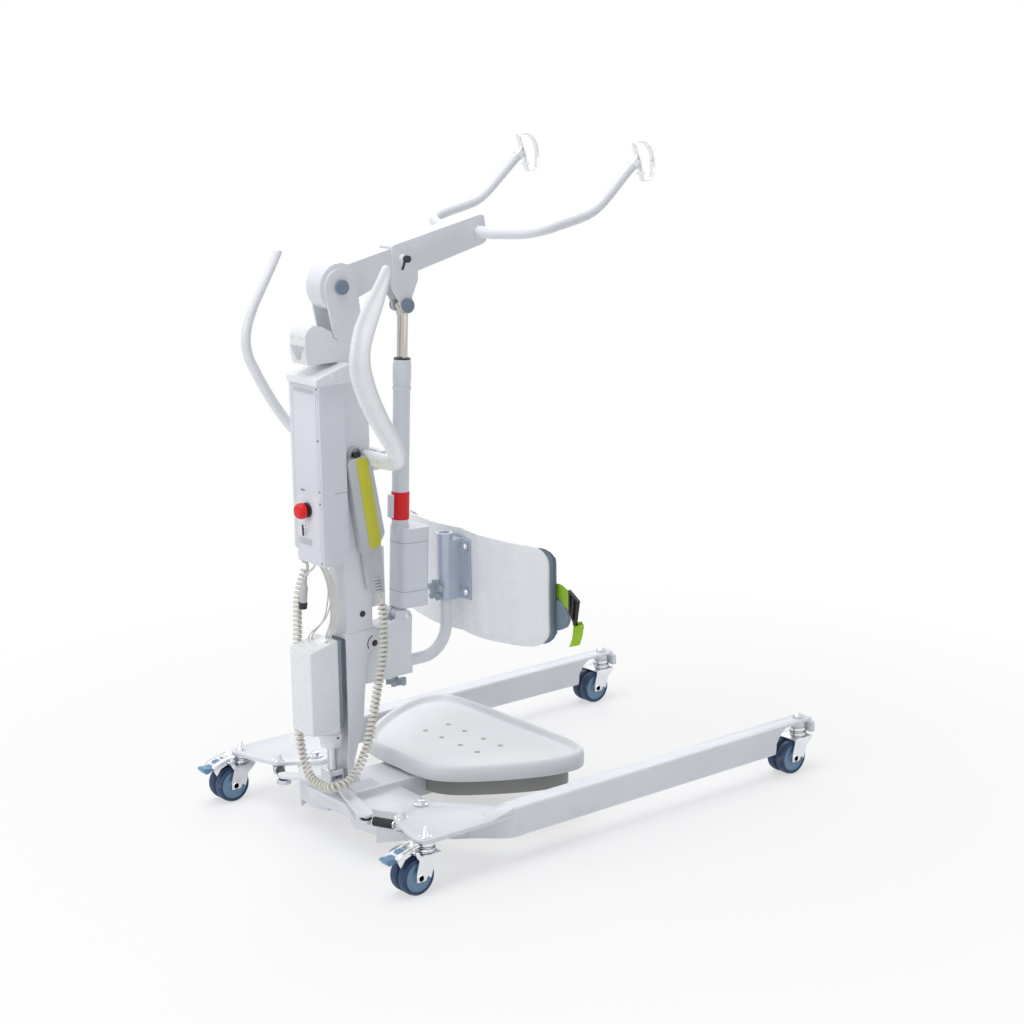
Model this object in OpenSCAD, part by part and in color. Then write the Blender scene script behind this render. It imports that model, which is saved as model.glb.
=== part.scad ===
// Sit to stand lift: castored base with spreading legs, mast, lifting boom and leg support.
// Millimetres. +X points to the legs' open end, +Y is the lift's left side, +Z is up.
// The floor is z = 0. Depth values below are measured from the rear wheel centres.

/* [Base] */
// Distance between the rear and front wheel centres
wheelbase = 1027; // [850:1:1200]
// Distance from the middle plane to the rear casters
rear_track = 334; // [280:1:400]
// Distance from the middle plane to the leg tubes and front casters
front_track = 332; // [280:1:400]
// Outer radius of the caster tyres
tyre_r = 37.5; // [30:0.5:50]
// Width over the twin tread of a tyre
tyre_w = 50; // [36:1:60]
// Distance from swivel axis to wheel axle
trail = 34; // [20:1:45]
// Width of a leg tube
leg_w = 45; // [30:1:60]
// Height of the leg tube's lower face above the floor
leg_z = 55; // [45:1:70]
// Height of the leg tube's upper face above the floor
leg_top = 117; // [105:1:135]
// Depth position of the leg pivots
leg_pivot_x = 130; // [110:1:160]
// Side position of the leg pivots
leg_pivot_y = 190; // [160:1:220]
// Radius of a leg pivot bolt
leg_bolt_r = 9; // [6:0.5:12]

/* [Mast] */
// Width of the mast across the machine
mast_w = 58; // [44:1:80]
// Depth of the upper mast
mast_d = 63; // [50:1:90]
// Depth position of the mast's rear face
mast_x = 74; // [70:1:95]
// Height of the joint between lower and upper mast
seam_z = 437; // [380:1:500]
// Height of the boom pivot
pivot_z = 1137; // [1060:1:1250]
// Depth position of the boom pivot
pivot_x = 87; // [80:1:95]
// Radius of the boom pivot pin
pivot_r = 10; // [8:0.5:14]
// Thickness of the mast head ears
ear_t = 4.5; // [3:0.5:6]

/* [Boom] */
// Angle of the boom above level as stored
boom_el = 12.5; // [5:0.5:20]
// Half width of the inner boom beam
beam_hw = 18; // [14:0.5:20]
// Length from the pivot to the beam's far end
beam_len = 300; // [270:1:330]
// Length from the pivot to the sleeve's front face
sleeve_end = 376; // [365:1:420]
// Wall thickness of the boom sleeve
sleeve_t = 3.5; // [2:0.5:5]
// Radius of the sling arm tubes
arm_r = 10.5; // [8:0.5:14]

/* [Lift actuator] */
// Radius of the steel rod
rod_r = 11; // [8:0.5:14]
// Radius of the fixed actuator tube
tube_r = 17.5; // [15:0.5:22]
// Depth position of the rod end pin
rod_pin_x = 252; // [240:1:265]
// Height of the rod end pin
rod_pin_z = 1083; // [1060:1:1100]
// Depth position of the actuator's lower pin
foot_pin_x = 222; // [215:1:235]
// Height of the actuator's lower pin
foot_pin_z = 446; // [440:1:455]

/* [Footplate and leg support] */
// Height of the footplate's rim
foot_z = 150; // [140:1:170]
// Height of the footplate's outer wall
foot_h = 37; // [25:1:42]
// Radius of the leg support tube
jt_r = 12.5; // [10:0.5:15]
// Depth position of the leg support's upright
jt_x = 345; // [330:1:365]
// Height of the leg support's lower run
jt_z = 340; // [325:1:350]
// Height of the shell's upper edge
shell_top = 600; // [560:1:640]
// Height of the shell's lower edge
shell_low = 378; // [360:1:420]
// Half width of the leg shell
shell_hw = 250; // [220:1:290]
// How far the shell's ends curl forward
shell_curl = 39; // [20:1:50]

/* [Hidden] */
$fn = 64;
run = 0.05;
gap = 0.3;
seat = 0.2;
pedal_tip = -70;
leg_end = wheelbase + trail + 31;
shift_x = -(pedal_tip + leg_end) / 2;
front_sx = wheelbase + trail;
// Rise of the axle and of the fork crown over those of a 75 mm caster
axle_dz = tyre_r - 37.5;
crown_dz = 2 * axle_dz;
wing_z = 97 + crown_dz;
wing_t = 8;
// The frame's spine runs under the footplate and never stands above the frame
spine_top = min(wing_z + 11, foot_z - foot_h - 5);
tyre_in = tyre_r - 7.5;
fork_in = tyre_w / 2 + 1.5;
fork_t = 3;
axle_r = 6;
stem_r = 6;
race_r = 19;
pin_x = 58;
pin_y = 222;
ball_x = 24;
ball_y = 150;
ball_z = wing_z - 9;
act_x = 46;
link_py = 9;
link_pz = wing_z + 25;
mast_f = mast_x + mast_d;
mh = mast_w / 2;
box_x = 12;
box_hw = 47;
box_z0 = 589;
box_z1 = 952;
cover_hw = 36;
arm_y = 187;
sleeve_hw = beam_hw + gap + sleeve_t;
arm_dx = pivot_x + (sleeve_end - 20) * cos(boom_el) - 3 * sin(boom_el) - 434;
arm_dz = pivot_z + (sleeve_end - 20) * sin(boom_el) + 3 * cos(boom_el) - 1217;
clevis_x = (rod_pin_x - pivot_x) * cos(boom_el) + (rod_pin_z - pivot_z) * sin(boom_el);
clevis_z = (rod_pin_z - pivot_z) * cos(boom_el) - (rod_pin_x - pivot_x) * sin(boom_el);
head_dz = pivot_z - 1137;
hook_r = 7;
steel_t = 4;
pad_t = 32;
pad_taper = 13;

function unit(v) = v / norm(v);
function tang(p, i) = unit(p[min(i + 1, len(p) - 1)] - p[max(i - 1, 0)]);
function cr(a, b, c, d, t) =
  0.5 * (2 * b + (c - a) * t + (2 * a - 5 * b + 4 * c - d) * t * t
  + (3 * b - a - 3 * c + d) * t * t * t);
function at(p, i) = p[max(0, min(len(p) - 1, i))];
function smooth(p, m) = [for (i = [0 : len(p) - 2]) for (k = [0 : m - 1])
  cr(at(p, i - 1), at(p, i), at(p, i + 1), at(p, i + 2), k / m), p[len(p) - 1]];
function ring(c, t, ref, ra, rb, n) = let (s = unit(cross(t, ref)), u = cross(s, t))
  [for (k = [0 : n - 1]) c + ra * cos(360 * k / n) * s + rb * sin(360 * k / n) * u];

module sweep(p, ra, rb, ref, n) {
  m = len(p);
  pts = [for (i = [0 : m - 1]) each ring(p[i], tang(p, i), ref, ra[i], rb[i], n)];
  sides = [for (i = [0 : m - 2]) for (k = [0 : n - 1])
    [i * n + k, i * n + (k + 1) % n, (i + 1) * n + (k + 1) % n, (i + 1) * n + k]];
  caps = [[for (k = [n - 1 : -1 : 0]) k], [for (k = [0 : n - 1]) (m - 1) * n + k]];
  polyhedron(concat(pts), concat(sides, caps), convexity = 6);
}
module tube(p, r, ref, n) {
  sweep(p, [for (q = p) r], [for (q = p) r], ref, n);
}
module rrect(x, y, r) {
  square([x - 2 * r, y], center = true);
  square([x, y - 2 * r], center = true);
  for (sx = [-1, 1])
    for (sy = [-1, 1])
      translate([sx * (x / 2 - r), sy * (y / 2 - r)]) circle(r);
}
module rbox(x, y, z, r) {
  linear_extrude(z) rrect(x, y, r);
}
// Runs a profile drawn in depth and height across the machine.
module across(w) {
  translate([0, w / 2, 0]) rotate([90, 0, 0]) linear_extrude(w) children();
}
module ycyl(r, w) {
  rotate([90, 0, 0]) cylinder(r = r, h = w, center = true);
}
module xcyl(r, w) {
  rotate([0, 90, 0]) cylinder(r = r, h = w);
}
module placed() {
  translate([shift_x, 0, 0]) children();
}
module boom_at() {
  translate([pivot_x, 0, pivot_z]) rotate([0, -boom_el, 0]) children();
}
module left() {
  mirror([0, 1, 0]) children();
}

/* casters */
module fork(sx, y) {
  placed() translate([sx, y, 0]) {
    difference() {
      union() {
        for (s = [-1, 1])
          translate([-trail, s * (fork_in + fork_t / 2), 0])
            across(fork_t) translate([0, axle_dz]) polygon([[-10, 30], [-10, 46], [-5, 64],
              [-2, 77 + axle_dz], [-2, 80.5 + axle_dz], [trail + 17, 80.5 + axle_dz],
              [trail + 17, 77 + axle_dz], [trail - 2, 60], [28, 44], [24, 33], [17, 39], [11, 30]]);
        translate([-trail - 2, -fork_in - fork_t, 77.2 + crown_dz]) cube([trail + 19, 2 * (fork_in + fork_t), 3.3]);
        if (sx < 500)
          for (s = [-1, 1])
            translate([-trail, s * (fork_in + fork_t / 2), crown_dz]) across(fork_t)
              polygon([[-11, 89], [-9, 82], [-4, 75], [4, 75], [4, 80.5], [-1, 86], [-3, 91], [-8, 92]]);
      }
      translate([-trail, 0, tyre_r]) ycyl(axle_r - 1, 80);
    }
    if (sx < 500)
      translate([-trail - 6, 0, 86.5 + crown_dz]) ycyl(2.5, 2 * (fork_in + fork_t) + 1);
    translate([-trail, 0, tyre_r]) ycyl(axle_r, 2 * (fork_in + fork_t) + 3);
    translate([0, 0, 80.5 + crown_dz]) cylinder(r = race_r, h = 5);
    translate([0, 0, 85.5 + crown_dz]) cylinder(r = race_r - 3, h = 4);
    translate([0, 0, 89.5 + crown_dz]) cylinder(r = race_r - 1, h = 7.5 - gap);
    translate([0, 0, 89 + crown_dz]) cylinder(r = stem_r, h = wing_t + 9);
    translate([0, 0, wing_z + wing_t + gap]) cylinder(r = 10, h = 3);
    if (y < 0 || y > 0)
      translate([0, 0, wing_z + wing_t + gap + 3]) cylinder(r1 = 9.5, r2 = sx > 500 ? 8 : 2.5, h = sx > 500 ? 1 : 19);
  }
}
module hub(sx, y) {
  placed() translate([sx - trail, y, tyre_r])
    difference() {
      union() {
        ycyl(tyre_in - run, tyre_w - 12);
        for (s = [-1, 1])
          translate([0, s * (tyre_w / 2 - 4.5), 0]) ycyl(12, 6);
        difference() {
          ycyl(tyre_in - run, tyre_w - 4);
          ycyl(tyre_in - 4, tyre_w);
        }
      }
      ycyl(axle_r + run, tyre_w + 10);
    }
}
module tyre(sx, y) {
  e = tyre_w / 2;
  placed() translate([sx - trail, y, tyre_r])
    rotate([90, 0, 0]) rotate_extrude() polygon([[tyre_in, -e + 1], [tyre_r - 4, -e],
      [tyre_r - 1, -e + 3], [tyre_r, -e + 8], [tyre_r, -7], [tyre_r - 1.5, -4], [tyre_r - 5.5, -2],
      [tyre_r - 5.5, 2], [tyre_r - 1.5, 4], [tyre_r, 7], [tyre_r, e - 8], [tyre_r - 1, e - 3],
      [tyre_r - 4, e], [tyre_in, e - 1]]);
}
module fork_rr() {
  color([0.78, 0.79, 0.82]) fork(0 + trail, -rear_track);
}
module fork_rl() {
  color([0.78, 0.79, 0.82]) fork(0 + trail, rear_track);
}
module fork_fr() {
  color([0.78, 0.79, 0.82]) fork(front_sx, -front_track);
}
module fork_fl() {
  color([0.78, 0.79, 0.82]) fork(front_sx, front_track);
}
module hub_rr() {
  color([0.52, 0.68, 0.82]) hub(0 + trail, -rear_track);
}
module hub_rl() {
  color([0.52, 0.68, 0.82]) hub(0 + trail, rear_track);
}
module hub_fr() {
  color([0.52, 0.68, 0.82]) hub(front_sx, -front_track);
}
module hub_fl() {
  color([0.52, 0.68, 0.82]) hub(front_sx, front_track);
}
module tyre_rr() {
  color([0.05, 0.12, 0.25]) tyre(0 + trail, -rear_track);
}
module tyre_rl() {
  color([0.05, 0.12, 0.25]) tyre(0 + trail, rear_track);
}
module tyre_fr() {
  color([0.05, 0.12, 0.25]) tyre(front_sx, -front_track);
}
module tyre_fl() {
  color([0.05, 0.12, 0.25]) tyre(front_sx, front_track);
}
// Brake pedal hung on the rear of a fork; its toe clears the tyre.
module pedal(y) {
  placed() translate([0, y, crown_dz])
    difference() {
      union() {
        across(24) polygon([[-8, 82.6], [-2, 91], [-13, 96.5], [-32, 93], [-50, 84], [-64, 86],
          [pedal_tip, 83], [pedal_tip + 9, 72], [-54, 73], [-40, 81], [-26, 84]]);
        translate([-6, 0, 86.5]) ycyl(5, 24);
      }
      translate([-6, 0, 86.5]) ycyl(2.5 + run, 40);
    }
}
module pedal_right() {
  color([0.35, 0.55, 0.75]) pedal(-rear_track);
}
module pedal_left() {
  color([0.35, 0.55, 0.75]) pedal(rear_track);
}

/* base */
module wing() {
  hull() {
    translate([trail, -rear_track + 3]) circle(r = 22, $fn = 32);
    translate([pin_x, -pin_y]) circle(r = 15, $fn = 32);
    translate([leg_pivot_x, -leg_pivot_y]) circle(r = 32, $fn = 32);
    translate([245, -front_track - 8]) circle(r = 13, $fn = 32);
    translate([250, -front_track + 14]) circle(r = 8, $fn = 32);
  }
}
module leg() {
  top_gap = 5;
  boss = 16;
  f = front_sx;
  corner = min(leg_top - top_gap, wing_z + 7);
  placed() difference() {
    union() {
      translate([0, 0, wing_z]) linear_extrude(wing_t) wing();
      translate([240, -front_track, (leg_z + leg_top) / 2]) rotate([90, 0, 90])
        linear_extrude(leg_end - 240) rrect(leg_w, leg_top - leg_z, 5);
      translate([0, 0, leg_z]) linear_extrude(wing_z - leg_z) hull() {
        translate([156, -266]) circle(r = 19, $fn = 32);
        translate([262, -front_track]) circle(r = 20, $fn = 32);
      }
      translate([pin_x, -pin_y, wing_z]) cylinder(r = 11, h = wing_t + 3);
      translate([pin_x, -pin_y, wing_z + wing_t + 3]) cylinder(r1 = 9, r2 = 4.5, h = 10);
      translate([pin_x, -pin_y, ball_z - 10]) cylinder(r = 5, h = 19);
      translate([pin_x, -pin_y, ball_z - 12]) cylinder(r = 11, h = 3);
      translate([front_sx, -front_track, leg_top]) cylinder(r = 11, h = 3);
    }
    translate([leg_pivot_x, -leg_pivot_y, wing_z - 1]) cylinder(r = leg_bolt_r + run, h = wing_t + 2);
    translate([trail, -rear_track, wing_z - 1]) cylinder(r = stem_r + run, h = wing_t + 2);
    difference() {
      translate([0, -front_track, 0]) across(leg_w + 20) union() {
        polygon([[f - 91, 40], [f - 87, 82], [f - 77, 98], [f - 59, leg_top - top_gap],
          [f + 12, leg_top - top_gap], [f + 20.5, corner], [f + 20.5, 84], [leg_end + 20, 84],
          [leg_end + 20, 40]]);
      }
      translate([front_sx, -front_track, wing_z]) cylinder(r = boss, h = 30);
    }
    translate([front_sx, -front_track, wing_z - 1])
      cylinder(r = stem_r + 6 + run, h = 17);
    translate([leg_end - 6, -front_track - leg_w / 2 - 1, leg_top + 1]) rotate([0, 45, 0])
      translate([0, 0, -12]) cube([12, leg_w + 2, 24]);
    translate([262, -front_track, (leg_z + leg_top) / 2]) rotate([90, 0, 90])
      linear_extrude(f - 371) rrect(leg_w - 6, leg_top - leg_z - 6, 3);
  }
}
module right_leg() {
  color([0.93, 0.93, 0.94]) leg();
}
module left_leg() {
  color([0.93, 0.93, 0.94]) left() leg();
}
module leg_pivot_bolts() {
  color([0.7, 0.72, 0.75]) placed()
    for (s = [-1, 1])
      translate([leg_pivot_x, s * leg_pivot_y, 0]) {
        translate([0, 0, 70]) cylinder(r = leg_bolt_r, h = wing_z + wing_t + gap - 70);
        translate([0, 0, wing_z + wing_t + gap]) cylinder(r = 15, h = 3);
        translate([0, 0, wing_z + wing_t + gap + 2]) cylinder(r = 9, h = 8, $fn = 6);
      }
}
module frame_half() {
  translate([0, 0, 42]) linear_extrude(wing_z - gap - 42)
    polygon([[46, -76], [57, -137], [98, -206], [108, -216], [130, -222], [152, -214], [162, -196],
      [172, -120], [172, -40], [60, -40]]);
  hull() {
    translate([57, -137, 27]) cylinder(r = 1.5, h = 20, $fn = 8);
    translate([90, -190, 40]) cylinder(r = 2, h = 20, $fn = 8);
    translate([100, -140, 42]) cylinder(r = 2, h = 20, $fn = 8);
  }
}
module base_frame() {
  color([0.9, 0.91, 0.93]) placed() difference() {
    union() {
      frame_half();
      left() frame_half();
      hull() {
        translate([46, -79, 58]) cube([126, 158, 2]);
        translate([29, -72, wing_z - 3]) cube([140, 144, 3 - gap]);
      }
      translate([60, -58, 62]) cube([310, 116, spine_top - 62]);
      hull() {
        translate([64, -60, wing_z - 1]) cube([80, 120, 2]);
        translate([70, -31, wing_z + 21]) cube([50, 62, 2]);
      }
    }
    for (s = [-1, 1])
      translate([leg_pivot_x, s * leg_pivot_y, 60]) cylinder(r = leg_bolt_r, h = 60);
    translate([20, -39, wing_z - 16]) cube([16, 78, 5]);
    translate([60, -mh + 7, wing_z - 7]) cube([6, 2 * mh - 14, 60]);
  }
}
module tie_rod() {
  yi = -ball_y;
  placed() difference() {
    union() {
      translate([ball_x, yi, ball_z - 6]) cylinder(r = 15, h = 9);
      translate([pin_x, -pin_y, ball_z - 5]) cylinder(r = 13, h = 10);
      translate([ball_x, yi, ball_z]) rotate([0, 0, atan2(pin_y - ball_y, pin_x - ball_x) * -1])
        translate([12, 0, 0]) xcyl(4.4, norm([pin_x - ball_x, pin_y - ball_y]) - 21);
    }
    translate([ball_x, yi, ball_z - 10]) cylinder(r = 10.5, h = 20);
    translate([pin_x, -pin_y, ball_z - 10]) cylinder(r = 5 + run, h = 20);
  }
}
module tie_rod_right() {
  color([0.75, 0.77, 0.8]) tie_rod();
}
module tie_rod_left() {
  color([0.75, 0.77, 0.8]) left() tie_rod();
}
module tie_sleeve() {
  placed() translate([ball_x, -ball_y, ball_z])
    rotate([0, 0, -atan2(pin_y - ball_y, pin_x - ball_x)]) difference() {
      translate([17, 0, 0]) xcyl(9.5, 44);
      translate([16, 0, 0]) xcyl(4.4 + run, 46);
    }
}
module tie_sleeve_right() {
  color([0.04, 0.04, 0.05]) tie_sleeve();
}
module tie_sleeve_left() {
  color([0.04, 0.04, 0.05]) left() tie_sleeve();
}
// Flat bar from the rod's clevis down to a tie rod's inner ball.
module link() {
  a = atan2(link_pz - ball_z - 12, ball_y - link_py);
  placed() difference() {
    union() {
      translate([act_x - 12, -link_py, link_pz]) xcyl(7.5, 24);
      hull() {
        translate([act_x - 9, -link_py - 6, link_pz - 3]) cube([18, 2, 5]);
        translate([ball_x - 14, -ball_y + 8, ball_z + 9]) cube([34, 4, 5]);
      }
      hull() {
        translate([ball_x, -ball_y, ball_z + 9]) cylinder(r = 13, h = 5, $fn = 32);
        translate([ball_x - 14, -ball_y + 8, ball_z + 9]) cube([34, 4, 5]);
      }
      translate([ball_x, -ball_y, ball_z - 5]) cylinder(r = 4.5, h = 16);
    }
    translate([act_x - 13, -link_py, link_pz]) xcyl(4 + run, 26);
  }
}
module link_right() {
  color([0.9, 0.91, 0.93]) link();
}
module link_left() {
  color([0.9, 0.91, 0.93]) left() link();
}
module base_actuator_rod() {
  color([0.62, 0.66, 0.72]) placed() {
    translate([act_x, 0, link_pz + 28]) cylinder(r = 9, h = 370 - link_pz - 28);
    translate([act_x - 16.5, -17, link_pz + 17]) cube([33, 34, 12]);
    for (s = [-1, 1])
      translate([act_x + s * 14.6 - 1.9, -17, link_pz - 10]) cube([3.8, 34, 28]);
    for (s = [-1, 1])
      translate([act_x - 16.5, s * link_py, link_pz]) xcyl(4, 33);
  }
}
module base_actuator_cover() {
  color([0.95, 0.95, 0.96]) placed() difference() {
    union() {
      across(2 * cover_hw) polygon([[-12, 250], [-12, 412], [-8, 424], [4, 430], [52, 436],
        [52, 240], [4, 236], [-6, 240]]);
      translate([50, -mh + 7, 236]) cube([mast_x + 5 - 50, 2 * mh - 14, 188]);
      translate([act_x, 0, 200]) cylinder(r = 22, h = 38);
      translate([act_x, 0, 216]) cylinder(r = 24, h = 12);
    }
    translate([act_x, 0, 190]) cylinder(r = 9 + run, h = 232);
  }
}
function foot_half() = smooth([[205, 0], [204, -50], [212, -108], [242, -152], [291, -190],
  [345, -222], [400, -247], [440, -259], [480, -262], [510, -250], [526, -222], [533, -180],
  [537, -90], [538, 0]], 2);
function mirrored(p) = [for (i = [len(p) - 2 : -1 : 1]) [p[i][0], -p[i][1]]];
function foot_edge(d) = let (h = foot_half(), f = concat(h, mirrored(h)), c = [380, 0])
  [for (q = f) c + (q - c) * (1 - d / norm(q - c))];
module footplate() {
  color([0.94, 0.94, 0.95]) placed() difference() {
    union() {
      translate([0, 0, foot_z - foot_h]) linear_extrude(foot_h - 4) polygon(foot_edge(0));
      translate([0, 0, foot_z - 4]) linear_extrude(4) polygon(foot_edge(4));
    }
    translate([0, 0, foot_z - 12]) linear_extrude(20) polygon(foot_edge(20));
    translate([0, 0, foot_z - 3]) linear_extrude(20) polygon(foot_edge(13));
    for (s = [-1, 1])
      for (q = [[351, 91], [413, 91], [413, 33], [351, 33]])
        translate([q[0], s * q[1], foot_z - foot_h - 1]) cylinder(r = 4, h = foot_h, $fn = 24);
  }
}
module footplate_carrier() {
  color([0.62, 0.62, 0.6]) placed()
    difference() {
      translate([0, 0, 72]) linear_extrude(foot_z - foot_h - 72 - seat) polygon(foot_edge(36));
      translate([150, -58 - gap, 60]) cube([220 + gap, 116 + 2 * gap, spine_top - 60 + gap]);
    }
}

/* mast */
module mast_lower() {
  color([0.9, 0.91, 0.93]) placed() difference() {
    across(mast_w) polygon([[66, wing_z + 23 + seat], [66, 150], [70, 236], [71, seam_z - gap], [mast_f + 2, seam_z - gap],
      [mast_f + 12, 432], [mast_f + 18, 420], [mast_f + 16, 402], [mast_f + 2, 392], [122, 381],
      [107, 233], [97, 207], [84, 168], [80, 146], [96, wing_z + 23 + seat]]);
    across(mast_w - 2 * steel_t) polygon([[40, 100], [40, seam_z - 12], [112, seam_z - 12],
      [112, 381], [100, 250], [90, 207], [77, 165], [74, 100]]);
  }
}
module mast_upper() {
  color([0.9, 0.91, 0.93]) placed() difference() {
    union() {
      translate([mast_x, -mh, seam_z]) cube([mast_d, mast_w, 1040 + head_dz - seam_z]);
      for (s = [-1, 1])
        translate([0, s * (mh - ear_t / 2), 0]) across(ear_t) {
          polygon([[mast_x - 6, 1039 + head_dz], [pivot_x - 37, pivot_z - 10], [pivot_x - 34, pivot_z + 14],
            [pivot_x, pivot_z + 20], [pivot_x + 35, pivot_z + 12], [mast_f - 8, 1100 + head_dz], [mast_f, 1039 + head_dz]]);
          translate([pivot_x, pivot_z]) circle(37);
        }
      translate([mast_f - 1, -mh + 6, 480]) cube([38, 2 * mh - 12, 122]);
      translate([mast_f - 1, -mh - 3, 764]) cube([44, mast_w + 6, 36]);
      translate([mast_f - 1, -mh - 1, 800]) cube([6, mast_w + 2, 90]);
    }
    translate([pivot_x, 0, pivot_z]) ycyl(pivot_r, mast_w + 10);
    translate([mast_x - 10, -mh + ear_t, 1030 + head_dz]) cube([mast_d + 20, mast_w - 2 * ear_t, 40]);
    translate([mast_x + steel_t, -mh + steel_t, seam_z - 1])
      cube([mast_d - 2 * steel_t, mast_w - 2 * steel_t, 1012 + head_dz - seam_z]);
    translate([mast_f + 4, -mh + 10, 479]) cube([40, 2 * mh - 20, 130]);
    translate([mast_f + 8, -mh + 3, 763]) cube([24, mast_w - 6, 38]);
  }
}
module head_cowl() {
  color([0.96, 0.96, 0.96]) placed() translate([0, 0, head_dz]) difference() {
    across(2 * (mh - 2)) polygon([[6, 991.5], [0, 1012], [0, 1048], [6, 1060], [18, 1067], [40, 1064],
      [62, 1052], [mast_x - 7.5, 1038.7], [mast_x - gap, 1036], [mast_x - gap, 991.5]]);
    for (s = [-1, 1])
      translate([-1, s * 16, 1044]) xcyl(2.5, 4);
  }
}
function grip_path() = smooth([[88, -185, 1192], [70, -185, 1155], [45, -185, 1108],
  [28, -185, 1062], [22, -184, 1018], [30, -177, 972], [54, -158, 925], [92, -124, 880],
  [130, -86, 838], [164, -55, 803], [186, -mh - 14, 768]], 3);
function lerp(t, k) = let (n = len(t) - 1, i = min(floor(k * n), n - 1), f = k * n - i)
  t[i] + (t[i + 1] - t[i]) * f;
module push_handle() {
  p = grip_path();
  m = len(p) - 1;
  wide = [9, 10.5, 13, 19, 22.5, 23, 23, 22, 21, 20, 19];
  thick = [9, 10, 10, 10.5, 10, 10, 10, 10, 9.5, 9.5, 9.5];
  placed() sweep(p, [for (i = [0 : m]) lerp(wide, i / m)], [for (i = [0 : m]) lerp(thick, i / m)],
    [0.38, 0.925, 0], 20);
}
module push_handle_right() {
  color([0.92, 0.92, 0.91]) push_handle();
}
module push_handle_left() {
  color([0.92, 0.92, 0.91]) left() push_handle();
}
module control_box() {
  color([0.88, 0.89, 0.93]) placed() difference() {
    union() {
      translate([box_x + 2, -box_hw, box_z0]) cube([mast_x - gap - box_x - 2, 2 * box_hw, box_z1 - box_z0]);
      translate([box_x, -box_hw + 4, box_z0 + 4]) cube([3, 2 * box_hw - 8, box_z1 - box_z0 - 8]);
    }
    translate([box_x - 1, 2, 699]) xcyl(9, 8);
  }
}
module control_cap() {
  color([0.96, 0.96, 0.96]) placed() difference() {
    across(2 * box_hw + 12) polygon([[5, box_z1 + gap], [5, 966], [12, 970], [83, 991], [86, 986],
      [86, box_z1 + gap]]);
    translate([mast_x - gap, -mh - gap, 940]) cube([30, mast_w + 2 * gap, 80]);
  }
}
module estop_collar() {
  color([0.03, 0.03, 0.03]) placed() translate([box_x - 6, 2, 699]) difference() {
    xcyl(15, 6);
    translate([-1, 0, 0]) xcyl(8 + run, 8);
  }
}
module estop_button() {
  color([0.85, 0.02, 0.02]) placed() translate([box_x - 6, 2, 699]) {
    translate([-8, 0, 0]) xcyl(8, 13.6);
    translate([-20, 0, 0]) rotate([0, 90, 0]) cylinder(r1 = 13, r2 = 16, h = 5);
    translate([-15, 0, 0]) xcyl(16, 8);
  }
}
module pivot_pin() {
  color([0.4, 0.47, 0.55]) placed() translate([pivot_x, 0, pivot_z]) {
    ycyl(pivot_r, mast_w + 6);
    for (s = [-1, 1])
      translate([0, s * (mh + 3.5), 0]) ycyl(14, 6);
  }
}

/* boom */
module boom_beam() {
  color([0.9, 0.91, 0.93]) placed() boom_at() difference() {
    union() {
      across(2 * (mh - ear_t - gap)) circle(47);
      across(2 * beam_hw) polygon([[0, -40], [30, -36], [80, -30], [140, -25.5], [beam_len, -20],
        [beam_len, 30.5], [150, 33.5], [0, 36]]);
      for (s = [-1, 1])
        translate([0, s * 15, 0]) across(steel_t) {
          polygon([[125, -20], [196, -20], [188, -48], [clevis_x + 18, clevis_z + 14],
            [clevis_x + 14, clevis_z - 4], [clevis_x - 13, clevis_z - 4], [clevis_x - 17, clevis_z + 18],
            [124, -48]]);
          translate([clevis_x, clevis_z]) circle(15);
        }
    }
    ycyl(pivot_r + run, 80);
    translate([clevis_x, 0, clevis_z]) ycyl(6, 80);
    across(2 * beam_hw - 8) polygon([[60, -24], [140, -20], [beam_len + 1, -16], [beam_len + 1, 26],
      [150, 29], [60, 31]]);
  }
}
module clevis_caps() {
  color([0.4, 0.47, 0.55]) placed() boom_at() translate([clevis_x, 0, clevis_z]) {
    for (s = [-1, 1]) {
      translate([0, s * 20.3, 0]) ycyl(14.5, 6);
      translate([0, s * 15.4, 0]) ycyl(6 - run, 6);
    }
  }
}
module boom_sleeve() {
  w = beam_hw + gap;
  color([0.9, 0.91, 0.93]) placed() boom_at() difference() {
    union() {
      across(2 * (w + sleeve_t)) polygon([[126, -29], [139, 33.5], [142, 38], [146, 39], [360, 36],
        [372, 34], [sleeve_end, 29], [sleeve_end - 4, -18], [sleeve_end - 14, -24]]);
      translate([158.5, -w - sleeve_t - 6, 8]) ycyl(9, 13);
    }
    across(2 * w) polygon([[110, -60], [110, 36.6], [150, 33.9], [beam_len + 4, 30.9],
      [beam_len + 66, 30.5], [beam_len + 66, -60]]);
    translate([158.5, -w - sleeve_t - 8, 8]) ycyl(4 + run, 14);
  }
}
module plunger_knob() {
  y = beam_hw + gap + sleeve_t;
  color([0.04, 0.04, 0.05]) placed() boom_at() translate([158.5, -y, 8]) {
    translate([0, -9.5, 0]) ycyl(4, 10);
    translate([0, -17, 0]) ycyl(7, 8);
    translate([-3, -15, 0]) rotate([0, 35, 0]) translate([-2, -1.5, -22]) cube([4, 3, 20]);
  }
}
function arm_path() = smooth([[434, -sleeve_hw - 2 * gap, 1217], [434, -60, 1216], [443, -100, 1217],
  [450, -140, 1220], [463, -168, 1225], [486, -183, 1231], [523, -187, 1239], [560, -188, 1246],
  [592, -188, 1255], [618, -188, 1270], [643, -188, 1290], [680, -187, 1322], [714.5, -187, 1351]], 3);
module sling_arm() {
  p = arm_path();
  m = len(p) - 1;
  r = [for (i = [0 : m]) i < 5 ? arm_r + 2.5 - i * 0.45 : arm_r];
  placed() translate([arm_dx, 0, arm_dz]) sweep(p, r, r, [0, 0, 1], 20);
}
module sling_arms() {
  color([0.92, 0.93, 0.94]) {
    sling_arm();
    left() sling_arm();
  }
}
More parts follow.
